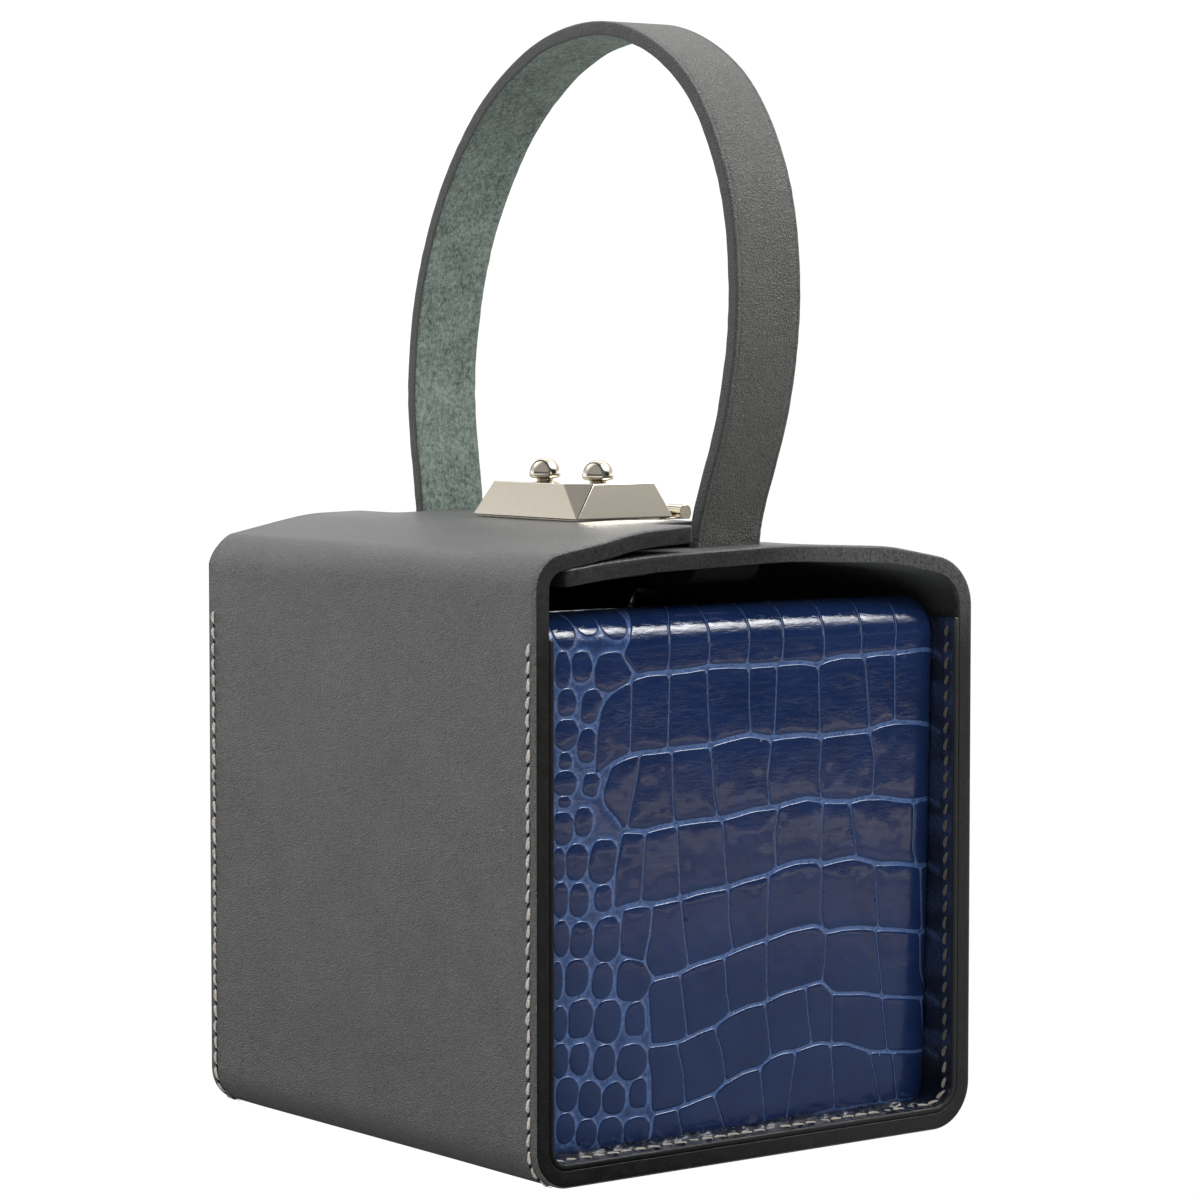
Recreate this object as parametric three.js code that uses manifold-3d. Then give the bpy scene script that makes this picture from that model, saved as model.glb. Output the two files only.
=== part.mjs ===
// Box bag: a cube of thick leather with a tall loop handle and a hinged metal clasp.
//
// One strip of leather is bent round into a square band: lower flap, right wall,
// bottom, left wall, upper flap. Two moulded gussets close the front and the back,
// each a leaning panel with a rounded top edge and a flange sewn inside the band.
// The handle is one strap whose ends pass through slots in the lower flap. The upper
// flap has a tongue that lies between the two legs of the handle and carries the clasp.
//
// Millimetres. +Z up, front towards -Y. The origin is the middle of the flat bottom.

import * as THREE from "three";
import { mergeVertices } from "three/addons/utils/BufferGeometryUtils.js";
import { ConvexGeometry } from "three/addons/geometries/ConvexGeometry.js";
import Module from "manifold-3d";

const wasm = await Module();
wasm.setup();

// ---------------------------------------------------------------- driving sizes
const WIDTH = 130; // left wall to right wall, outside
const DEPTH = 135; // front cut edge to back cut edge
const BAND_T = 3.9; // thickness of the leather band
const GAP = 0.3; // clearance kept between neighbouring pieces

const X0 = WIDTH / 2;
const Y0 = DEPTH / 2;

// Outline of the band's outer face, from the tongue's end round to the lower flap's end.
const BAND = [
  { place: "tongue end", x: 18, z: 145.2, r: 0 },
  { place: "upper flap crown", x: -7, z: 145.5, r: 160 },
  { place: "upper flap shoulder", x: -37, z: 144.9, r: 60 },
  { place: "upper left corner", x: -X0, z: 140.2, r: 7.5 },
  { place: "lower left corner", x: -X0, z: 0, r: 9 },
  { place: "lower right corner", x: X0, z: 0, r: 11 },
  { place: "upper right corner", x: X0, z: 135.6, r: 12 },
  { place: "lower flap shoulder", x: 40, z: 139.5, r: 60 },
  { place: "lower flap crown", x: 8, z: 140.9, r: 150 },
  { place: "lower flap fall", x: -30, z: 139.8, r: 100 },
  { place: "lower flap end", x: -56.5, z: 137.8, r: 0 },
];

// The upper flap seen from above: its straight end at FLAP_END and the tongue beyond it.
const FLAP_END = -20;
const TONGUE = { end: 18, front: -51, back: 51, corner: 10, root: 3 };

// Moulded gusset: the panel's outer face seen from the side, as distance in from the
// band's cut edge, and the flange that lies against the band.
const GUSSET = {
  t: 2,
  flangeT: 1.6,
  flangeFrom: 1.2,
  flangeTo: 11.9,
  flangeTop: 122.7,
};
const PANEL = [
  { place: "foot", inset: 9.8, z: 4.6, r: 0 },
  { place: "top edge", inset: 6.9, z: 128.2, r: 8.5 },
  { place: "top end", inset: 21.5, z: 127.4, r: 0 },
];
const PANEL_TOP_CORNER = 7;

// Middle line of the handle strap above the flap, from the back leg over to the front.
const STRAP = { width: 19, t: 3.5, tab: 18, tabZ: 134.4, bend: 3.2 };
const LOOP = [
  { place: "back root", y: 56.0, z: 141.3 },
  { place: "back crease", y: 56.8, z: 149.0 },
  { place: "back low", y: 59.8, z: 175.7 },
  { place: "back middle", y: 55.7, z: 203.1 },
  { place: "back shoulder", y: 44.1, z: 227.7 },
  { place: "back crown", y: 26.6, z: 247.1 },
  { place: "crown", y: 1.9, z: 259.8 },
  { place: "front crown", y: -24.5, z: 261.1 },
  { place: "front shoulder", y: -49.0, z: 249.0 },
  { place: "front middle", y: -63.6, z: 226.8 },
  { place: "front bulge", y: -67.8, z: 200.6 },
  { place: "front low", y: -64.1, z: 173.3 },
  { place: "front crease", y: -54.9, z: 148.2 },
  { place: "front root", y: -53.5, z: 141.3 },
];
const SLOT_SIDE = 0.5; // room beside the strap in its slot
const SLOT_FACE = 0.7; // room in front of and behind the strap

// Clasp: base plate, hinged cover, pin, two ball knobs and a plain post.
const PLATE = { x0: -17.4, x1: 14.4, y: 20.2, z0: 145.8, z1: 146.4 };
const NOTCH = { x: 11.9, y: 14.6 };
const COVER = {
  x0: -18.2,
  x1: 10.3,
  y: 21,
  z0: 146.7,
  z1: 154.4,
  slope: 2.6,
  cut: 7.3,
  wall: 1.2,
};
const HINGE = { x: 14.6, z: 147.45, r: 1.7, bore: 1.05, pin: 0.75 };
const KNUCKLE = { outer: 21, split: 14.5, gap: 0.3 };
const KNOB_X = -4;
const KNOB_Y = 10.6;
const KNOB = [
  { place: "stem foot", r: 1.3, z: 152.2 },
  { place: "stem", r: 1.3, z: 154.7 },
  { place: "neck", r: 1.9, z: 154.7 },
  { place: "neck top", r: 1.9, z: 155.0 },
  { place: "underside", r: 3.2, z: 155.2 },
  { place: "lip", r: 3.65, z: 155.6 },
  { place: "waist", r: 3.8, z: 156.3 },
];
const BALL_R = 3.8;
const POST = [
  { place: "rivet foot", r: 5, z: 134.8 },
  { place: "rivet top", r: 5, z: 136.1 },
  { place: "shaft foot", r: 2, z: 136.1 },
  { place: "shaft top", r: 2, z: 149.6 },
  { place: "head foot", r: 2.9, z: 150.1 },
  { place: "head top", r: 2.9, z: 151.4 },
];
const POST_HOLE = { lowerFlap: 2.3, tongue: 3.6 };

// ---------------------------------------------------------------- shape helpers
const v2 = (x, y) => new THREE.Vector2(x, y);

// A polyline with each inner corner rounded to its row's radius r.
function rounded(rows, a, b, closed = false) {
  const n = rows.length;
  const out = [];
  rows.forEach((row, i) => {
    const p = v2(row[a], row[b]);
    const inside = closed || (i > 0 && i < n - 1);
    if (!row.r || !inside) {
      out.push(p);
      return;
    }
    const before = rows[(i + n - 1) % n];
    const after = rows[(i + 1) % n];
    const u = v2(before[a], before[b]).sub(p).normalize();
    const w = v2(after[a], after[b]).sub(p).normalize();
    const half = Math.acos(THREE.MathUtils.clamp(u.dot(w), -1, 1)) / 2;
    const reach = row.r / Math.tan(half);
    const centre = u
      .clone()
      .add(w)
      .normalize()
      .multiplyScalar(row.r / Math.sin(half))
      .add(p);
    const from = p.clone().addScaledVector(u, reach).sub(centre);
    const turn = Math.PI - 2 * half;
    const sign = Math.sign(u.x * w.y - u.y * w.x) * -1;
    const steps = Math.max(4, Math.ceil(turn / 0.16));
    for (let k = 0; k <= steps; k++) {
      out.push(
        from
          .clone()
          .rotateAround(v2(0, 0), (sign * turn * k) / steps)
          .add(centre),
      );
    }
  });
  return out;
}

// The same line moved sideways by d, to the left of its direction of travel.
function offset(line, d) {
  return line.map((p, i) => {
    const a = line[Math.max(i - 1, 0)];
    const b = line[Math.min(i + 1, line.length - 1)];
    const in_ = p.clone().sub(a);
    const out = b.clone().sub(p);
    if (in_.lengthSq() < 1e-12) in_.copy(out);
    if (out.lengthSq() < 1e-12) out.copy(in_);
    in_.normalize();
    out.normalize();
    const n = v2(-(in_.y + out.y), in_.x + out.x).normalize();
    const cos = Math.max(0.5, n.dot(v2(-in_.y, in_.x)));
    return p.clone().addScaledVector(n, d / cos);
  });
}

const strip = (line, d) => [...line, ...offset(line, d).reverse()];

// Prisms along each axis, from an outline given in the other two.
function prism(outline, length, basis, start) {
  const shape = new THREE.Shape(outline);
  const g = new THREE.ExtrudeGeometry(shape, {
    depth: length,
    steps: 1,
    bevelEnabled: false,
  });
  g.applyMatrix4(basis);
  g.translate(...start);
  return solid(g);
}
const AXES = {
  x: new THREE.Matrix4().makeBasis(
    new THREE.Vector3(0, 1, 0),
    new THREE.Vector3(0, 0, 1),
    new THREE.Vector3(1, 0, 0),
  ),
  y: new THREE.Matrix4().makeRotationX(Math.PI / 2),
  z: new THREE.Matrix4(),
};
const alongX = (outline, x0, x1) => prism(outline, x1 - x0, AXES.x, [x0, 0, 0]);
const alongY = (outline, y0, y1) => prism(outline, y1 - y0, AXES.y, [0, y1, 0]);
const alongZ = (outline, z0, z1) => prism(outline, z1 - z0, AXES.z, [0, 0, z0]);
const rect = (a0, a1, b0, b1) => [v2(a0, b0), v2(a1, b0), v2(a1, b1), v2(a0, b1)];
const circle = (a, b, r, n = 28) =>
  Array.from({ length: n }, (_, i) =>
    v2(
      a + r * Math.cos((2 * Math.PI * i) / n),
      b + r * Math.sin((2 * Math.PI * i) / n),
    ),
  );

function solid(geometry) {
  const g = (geometry.index ? geometry.toNonIndexed() : geometry).clone();
  g.deleteAttribute("normal");
  g.deleteAttribute("uv");
  const m = mergeVertices(g, 1e-4);
  return new wasm.Manifold(
    new wasm.Mesh({
      numProp: 3,
      vertProperties: new Float32Array(m.attributes.position.array),
      triVerts: new Uint32Array(m.index.array),
    }),
  );
}

function turned(rows, x, y, segments = 28) {
  const profile = [
    v2(0, rows[0].z),
    ...rows.map((row) => v2(row.r, row.z)),
    v2(0, rows[rows.length - 1].z),
  ];
  const g = new THREE.LatheGeometry(profile, segments);
  g.rotateX(Math.PI / 2);
  g.translate(x, y, 0);
  return solid(g);
}

function meshOf(name, manifold, material) {
  const m = manifold.getMesh();
  const g = new THREE.BufferGeometry();
  const positions = new Float32Array(m.numVert * 3);
  for (let i = 0; i < m.numVert; i++) {
    positions.set(
      m.vertProperties.subarray(i * m.numProp, i * m.numProp + 3),
      i * 3,
    );
  }
  g.setAttribute("position", new THREE.BufferAttribute(positions, 3));
  g.setIndex(new THREE.BufferAttribute(new Uint32Array(m.triVerts), 1));
  g.computeVertexNormals();
  const mesh = new THREE.Mesh(g, material);
  mesh.name = name;
  return mesh;
}

// ---------------------------------------------------------------- materials
const leather = new THREE.MeshStandardMaterial({
  color: 0x57575a,
  roughness: 0.55,
  metalness: 0,
});
const croc = new THREE.MeshStandardMaterial({
  color: 0x1d2c58,
  roughness: 0.2,
  metalness: 0,
});
const nickel = new THREE.MeshStandardMaterial({
  color: 0xd6cfc2,
  roughness: 0.12,
  metalness: 1,
});

// ---------------------------------------------------------------- leather band
function makeBand() {
  const line = rounded(BAND, "x", "z");
  let band = alongY(strip(line, BAND_T), -Y0, Y0);

  // The upper flap is trimmed to its straight end and the tongue.
  const { end, front, back, corner, root } = TONGUE;
  const kept = rounded(
    [
      { x: FLAP_END - 15, y: -Y0 - 4, r: 0 },
      { x: FLAP_END, y: -Y0 - 4, r: 0 },
      { x: FLAP_END, y: front, r: root },
      { x: end, y: front, r: corner },
      { x: end, y: back, r: corner },
      { x: FLAP_END, y: back, r: root },
      { x: FLAP_END, y: Y0 + 4, r: 0 },
      { x: FLAP_END - 15, y: Y0 + 4, r: 0 },
    ],
    "x",
    "y",
    true,
  );
  const zUnder = 141.15;
  const trim = alongZ(
    rect(FLAP_END - 14, end + 6, -Y0 - 3, Y0 + 3),
    zUnder,
    150,
  ).subtract(alongZ(kept, zUnder - 1, 151));
  band = band.subtract(trim);

  // Slots for the two legs of the handle, in the lower flap.
  const side = STRAP.width / 2 + SLOT_SIDE;
  const face = STRAP.t / 2 + SLOT_FACE;
  for (const leg of [LOOP[0], LOOP[LOOP.length - 1]]) {
    band = band.subtract(
      alongZ(rect(-side, side, leg.y - face, leg.y + face), 130, zUnder),
    );
  }
  // Holes for the post.
  band = band.subtract(alongZ(circle(KNOB_X, 0, POST_HOLE.lowerFlap), 130, zUnder));
  return band.subtract(alongZ(circle(KNOB_X, 0, POST_HOLE.tongue), zUnder, 150));
}

// ---------------------------------------------------------------- gussets
function makeGusset() {
  const wall = X0 - BAND_T - GAP;
  const floor = BAND_T + GAP;
  const innerL = BAND[4].r - BAND_T - GAP;
  const innerR = BAND[5].r - BAND_T - GAP;
  const uLine = rounded(
    [
      { x: -wall, z: GUSSET.flangeTop, r: 0 },
      { x: -wall, z: floor, r: innerL },
      { x: wall, z: floor, r: innerR },
      { x: wall, z: GUSSET.flangeTop, r: 0 },
    ],
    "x",
    "z",
  );
  const flange = alongY(
    strip(uLine, GUSSET.flangeT),
    -Y0 + GUSSET.flangeFrom,
    -Y0 + GUSSET.flangeTo,
  );
  const side = PANEL.map((row) => ({ ...row, y: -Y0 + row.inset }));
  const panel = alongX(strip(rounded(side, "y", "z"), -GUSSET.t), -wall, wall);
  const edge = wall - GUSSET.flangeT + 0.3;
  const outline = rounded(
    [
      { x: -edge, z: floor + 1, r: innerL },
      { x: edge, z: floor + 1, r: innerR },
      { x: edge, z: 129, r: PANEL_TOP_CORNER },
      { x: -edge, z: 129, r: PANEL_TOP_CORNER },
    ],
    "x",
    "z",
    true,
  );
  return flange.add(panel.intersect(alongY(outline, -Y0, -Y0 + 30)));
}

// ---------------------------------------------------------------- handle
function makeHandle() {
  const loop = new THREE.CatmullRomCurve3(
    LOOP.map((row) => new THREE.Vector3(0, row.y, row.z)),
    false,
    "centripetal",
  )
    .getSpacedPoints(64)
    .map((p) => v2(p.y, p.z));
  const back = LOOP[0];
  const front = LOOP[LOOP.length - 1];
  const tab = (leg, inward) =>
    rounded(
      [
        { y: leg.y + inward * STRAP.tab, z: STRAP.tabZ, r: 0 },
        { y: leg.y, z: STRAP.tabZ, r: STRAP.bend },
        { y: leg.y, z: leg.z, r: 0 },
      ],
      "y",
      "z",
    );
  const line = [
    ...tab(back, -1).slice(0, -1),
    ...loop,
    ...tab(front, 1).reverse().slice(1),
  ];
  const outline = [
    ...offset(line, STRAP.t / 2),
    ...offset(line, -STRAP.t / 2).reverse(),
  ].reverse();
  return alongX(outline, -STRAP.width / 2, STRAP.width / 2);
}

// ---------------------------------------------------------------- clasp
function makePlate() {
  const { x0, x1, y, z0, z1 } = PLATE;
  let plate = alongZ(rect(x0, x1, -y, y), z0, z1);
  plate = plate.subtract(
    alongZ(rect(NOTCH.x, x1 + 1, -NOTCH.y, NOTCH.y), z0 - 1, z1 + 1),
  );
  for (const s of [-1, 1]) {
    const [a, b] = [s * KNUCKLE.split, s * KNUCKLE.outer].sort((p, q) => p - q);
    plate = plate.add(alongY(circle(HINGE.x, HINGE.z, HINGE.r), a, b));
  }
  plate = plate.subtract(
    alongY(circle(HINGE.x, HINGE.z, HINGE.bore), -KNUCKLE.outer - 1, KNUCKLE.outer + 1),
  );
  return plate.subtract(alongZ(circle(KNOB_X, 0, POST_HOLE.tongue), z0 - 1, z1 + 1));
}

// A block with sloping sides whose two left corners are cut to points at the base.
function pyramid(inset, lift) {
  const { x0, x1, y, z0, z1, slope, cut } = COVER;
  const low = z0 - lift;
  const top = z1 - inset;
  const k = (slope * (low - z0)) / (z1 - z0);
  const base = [
    [x0 + inset + k, -y + inset + k],
    [x1 - inset - k, -y + inset + k],
    [x1 - inset - k, y - inset - k],
    [x0 + inset + k, y - inset - k],
  ].map(([a, b]) => new THREE.Vector3(a, b, low));
  const tx0 = x0 + slope + inset;
  const tx1 = x1 - slope - inset;
  const ty = y - slope - inset;
  const c = cut - slope;
  const upper = [
    [tx0, -ty + c],
    [tx0 + c, -ty],
    [tx1, -ty],
    [tx1, ty],
    [tx0 + c, ty],
    [tx0, ty - c],
  ].map(([a, b]) => new THREE.Vector3(a, b, top));
  return solid(new ConvexGeometry([...base, ...upper]));
}

function makeCover() {
  let cover = pyramid(0, 0);
  const split = KNUCKLE.split - KNUCKLE.gap;
  const neck = [
    v2(COVER.x1 - 1.6, COVER.z0 + 0.05),
    v2(HINGE.x, COVER.z0 + 0.05),
    v2(HINGE.x, COVER.z0 + 1.4),
    v2(COVER.x1 - 1.6, COVER.z0 + 1.4),
  ];
  cover = cover.add(alongY(neck, -split, split));
  cover = cover.add(alongY(circle(HINGE.x, HINGE.z, HINGE.r), -split, split));
  cover = cover.subtract(
    alongY(circle(HINGE.x, HINGE.z, HINGE.bore), -split - 1, split + 1),
  );
  cover = cover.subtract(pyramid(COVER.wall, 1));
  for (const s of [-1, 1]) {
    cover = cover.subtract(
      alongZ(circle(KNOB_X, s * KNOB_Y, KNOB[0].r + GAP, 20), COVER.z1 - 2, COVER.z1 + 1),
    );
  }
  return cover;
}

function makeKnob(s) {
  const waist = KNOB[KNOB.length - 1];
  const dome = Array.from({ length: 7 }, (_, i) => {
    const a = ((i + 1) / 7.5) * (Math.PI / 2);
    return { r: BALL_R * Math.cos(a), z: waist.z + BALL_R * Math.sin(a) };
  });
  return turned([...KNOB, ...dome], KNOB_X, s * KNOB_Y, 24);
}

// ---------------------------------------------------------------- assembly
const bag = new THREE.Group();
bag.name = "box_bag";
const add = (name, manifold, material, group = bag) =>
  group.add(meshOf(name, manifold, material));

add("leather_band", makeBand(), leather);

const gusset = makeGusset();
add("front_gusset", gusset, croc);
// The band's two lower corners differ, so the back gusset is the front one mirrored.
const mirrored = new THREE.Group();
mirrored.scale.y = -1;
mirrored.add(meshOf("back_gusset", gusset, croc));
bag.add(mirrored);

add("handle_strap", makeHandle(), leather);

const clasp = new THREE.Group();
clasp.name = "clasp";
bag.add(clasp);
add("clasp_plate", makePlate(), nickel, clasp);
add("clasp_cover", makeCover(), nickel, clasp);
add(
  "hinge_pin",
  alongY(circle(HINGE.x, HINGE.z, HINGE.pin, 20), -KNUCKLE.outer, KNUCKLE.outer),
  nickel,
  clasp,
);
add("knob_front", makeKnob(-1), nickel, clasp);
add("knob_back", makeKnob(1), nickel, clasp);
add("latch_post", turned(POST, KNOB_X, 0), nickel, clasp);

export default bag;
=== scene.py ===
import math

import bpy
import numpy as np
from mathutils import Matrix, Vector
from mathutils.geometry import delaunay_2d_cdt


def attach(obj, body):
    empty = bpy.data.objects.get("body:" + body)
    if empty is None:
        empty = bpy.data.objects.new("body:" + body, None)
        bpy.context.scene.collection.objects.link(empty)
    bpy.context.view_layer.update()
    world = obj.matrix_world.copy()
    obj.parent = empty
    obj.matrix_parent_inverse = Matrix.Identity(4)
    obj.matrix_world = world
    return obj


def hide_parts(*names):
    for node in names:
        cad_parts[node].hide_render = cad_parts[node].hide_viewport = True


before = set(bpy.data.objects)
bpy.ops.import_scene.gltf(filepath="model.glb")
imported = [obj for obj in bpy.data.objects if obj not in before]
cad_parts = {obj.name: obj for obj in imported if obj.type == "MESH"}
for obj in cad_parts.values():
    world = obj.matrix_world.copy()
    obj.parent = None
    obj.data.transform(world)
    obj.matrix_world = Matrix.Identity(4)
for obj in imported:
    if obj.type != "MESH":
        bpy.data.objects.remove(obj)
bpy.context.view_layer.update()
MM = 0.001

# ------------------------------------------------------------------ camera
CAMERA_AT = (-0.589356, -0.775607, 0.1891)
AZIMUTH, PITCH = math.radians(37.45), math.radians(3.72)
camera = bpy.data.objects.new("camera", bpy.data.cameras.new("camera"))
bpy.context.scene.collection.objects.link(camera)
camera.data.lens = 120.75
camera.data.sensor_width = 36.0
camera.data.clip_start, camera.data.clip_end = 0.05, 30.0
camera.location = CAMERA_AT
look = Vector(
    (
        math.sin(AZIMUTH) * math.cos(PITCH),
        math.cos(AZIMUTH) * math.cos(PITCH),
        -math.sin(PITCH),
    )
)
camera.rotation_mode = "QUATERNION"
camera.rotation_quaternion = look.to_track_quat("-Z", "Y")
bpy.context.scene.camera = camera

# ------------------------------------------------------------------ sizes
DEPTH, BAND_T = 135.0, 3.9
Y0 = DEPTH / 2
BAND = [  # outer outline of the band: x, z, corner radius
    (18, 145.2, 0),
    (-7, 145.5, 160),
    (-37, 144.9, 60),
    (-65, 140.2, 7.5),
    (-65, 0, 9),
    (65, 0, 11),
    (65, 135.6, 12),
    (40, 139.5, 60),
    (8, 140.9, 150),
    (-30, 139.8, 100),
    (-56.5, 137.8, 0),
]
FLAP_END = -20.0
TONGUE_Y, TONGUE_CORNER, TONGUE_ROOT = 51.0, 10.0, 3.0
# Heights of the two flaps' outer faces along the front cut edge: x, z
UPPER_FRONT = [(-63.3, 137.0), (-62, 138.8), (-60.6, 140.1), (-58.1, 141.7), (-43.7, 144.4), (-28.9, 146.5), (-20.1, 147.1)]
LOWER_FRONT = [(-56.5, 138.2), (-45.6, 139.2), (-28.5, 140.3), (-18.4, 140.8), (-1.9, 141.4), (8.1, 141.6), (14.1, 141.5), (26.4, 140.8), (38.8, 139.7), (45.1, 138.9), (51.5, 137.7), (57.9, 135.9)]
STITCH_TOP, STITCH_IN, STITCH_PITCH = 122.7, 2.55, 3.9

STRAP_W, STRAP_T, STRAP_TAB, STRAP_TAB_Z, STRAP_BEND = 19.0, 3.5, 18.0, 134.4, 3.2
LOOP = [  # middle line of the strap, back root over the top to the front root: y, z
    (56.0, 141.3),
    (56.8, 149.0),
    (59.8, 175.7),
    (55.7, 203.1),
    (44.1, 227.7),
    (26.6, 247.1),
    (1.9, 259.8),
    (-24.5, 261.1),
    (-49.0, 249.0),
    (-63.6, 226.8),
    (-67.8, 200.6),
    (-64.1, 173.3),
    (-54.9, 148.2),
    (-53.5, 141.3),
]
PANEL = [(9.8, 4.6, 0), (6.9, 128.2, 8.5), (21.5, 127.4, 0)]  # inset, z, radius
PANEL_X = 59.5

# Scales of the crocodile grain, in panel millimetres: x, and length up the panel.
# A row crease has half its width and its middle line; the side creases part the
# broad scales of each row; the small scales are x, height, width, length and tilt.
ROW_CREASES = {
    "c0": (0.20, [(-46.2, 126.6), (-27.6, 127.6), (-14.3, 127.9), (3.7, 127.5), (24.3, 127.6), (35.6, 128.3), (52.2, 128.2), (60.4, 127.8)]),
    "c1": (0.48, [(-38.5, 105.2), (-35.4, 106.8), (-31.6, 108.3), (-27.7, 109.0), (-21.9, 108.9), (-16.1, 109.1), (-10.2, 109.6), (-4.2, 109.6), (1.8, 109.2), (6.5, 109.2), (11.2, 109.3), (17.3, 109.4), (22.8, 108.5), (24.8, 109.4), (30.3, 110.2), (36.6, 109.9), (41.5, 110.3), (46.6, 110.2), (52.9, 110.5), (59.7, 110.5)]),
    "c2": (0.50, [(-42.0, 86.4), (-38.2, 88.7), (-34.4, 90.2), (-30.0, 91.0), (-25.5, 91.0), (-20.9, 91.2), (-15.7, 91.4), (-9.8, 91.5), (-4.5, 92.5), (2.1, 93.3), (8.9, 92.0), (14.3, 92.2), (18.4, 92.3), (23.9, 91.5), (28.7, 91.8), (35.0, 91.9), (39.2, 92.0), (42.7, 93.1), (47.3, 93.6), (54.1, 93.1), (59.5, 92.0)]),
    "c3": (0.50, [(-37.9, 72.4), (-34.1, 73.6), (-28.3, 72.9), (-23.8, 73.6), (-18.6, 74.0), (-12.1, 74.3), (-5.5, 74.3), (-1.5, 74.8), (3.9, 75.7), (10.6, 75.8), (14.7, 76.5), (20.1, 77.2), (24.3, 76.4), (28.4, 75.8), (34.0, 75.5), (38.2, 76.0), (43.9, 75.7), (49.6, 74.6), (53.9, 74.1), (59.6, 74.6)]),
    "c4": (0.45, [(-37.6, 55.0), (-33.8, 56.2), (-29.3, 56.6), (-24.8, 56.1), (-17.0, 56.8), (-11.7, 57.7), (-3.8, 58.1), (1.5, 59.2), (8.3, 60.0), (12.3, 61.5), (17.1, 62.3), (23.2, 62.2), (25.3, 61.1), (29.5, 61.7), (35.1, 62.0), (39.3, 60.9), (42.9, 59.8), (48.6, 59.5), (55.7, 58.3), (60.1, 58.4)]),
    "c5": (0.40, [(-29.5, 35.0), (-27.6, 36.4), (-25.1, 38.7), (-17.9, 39.3), (-12.7, 40.9), (-4.8, 42.0), (1.9, 43.7), (8.6, 44.8), (15.4, 46.2), (23.6, 46.8), (27.5, 44.8), (32.0, 45.2), (37.6, 45.0), (43.3, 44.1), (49.7, 43.3), (56.2, 42.2), (60.5, 42.2)]),
    "c6": (0.33, [(-30.6, 23.8), (-27.4, 23.4), (-20.9, 23.2), (-16.3, 23.5), (-11.0, 25.0), (-6.4, 25.9), (-1.8, 28.3), (3.5, 29.6), (8.3, 29.9), (13.0, 31.5), (19.8, 32.4), (25.3, 33.2), (27.1, 32.2), (29.6, 29.9), (33.8, 29.5), (38.7, 29.1), (44.4, 27.8), (50.2, 27.0), (57.0, 26.1), (60.2, 26.5)]),
    "c7": (0.33, [(-30.3, 7.7), (-25.8, 7.4), (-20.6, 7.6), (-15.3, 8.3), (-10.7, 9.3), (-6.4, 10.1), (-2.8, 12.3), (2.5, 14.1), (7.3, 14.6), (10.6, 16.7), (14.0, 17.5), (18.1, 17.4), (21.6, 18.1), (25.7, 18.6), (29.2, 17.8), (33.4, 17.6), (38.4, 15.8), (41.2, 14.8), (48.4, 13.9), (55.6, 13.1), (60.6, 13.4)]),
    "c8": (0.25, [(-36.6, 0.5), (-25.3, 0.4), (-15.2, 0.5), (-2.5, 0.7), (5.6, 0.7), (15.1, 1.1), (30.3, 1.9), (44.8, 1.8), (60.2, 1.6)]),
}
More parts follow.
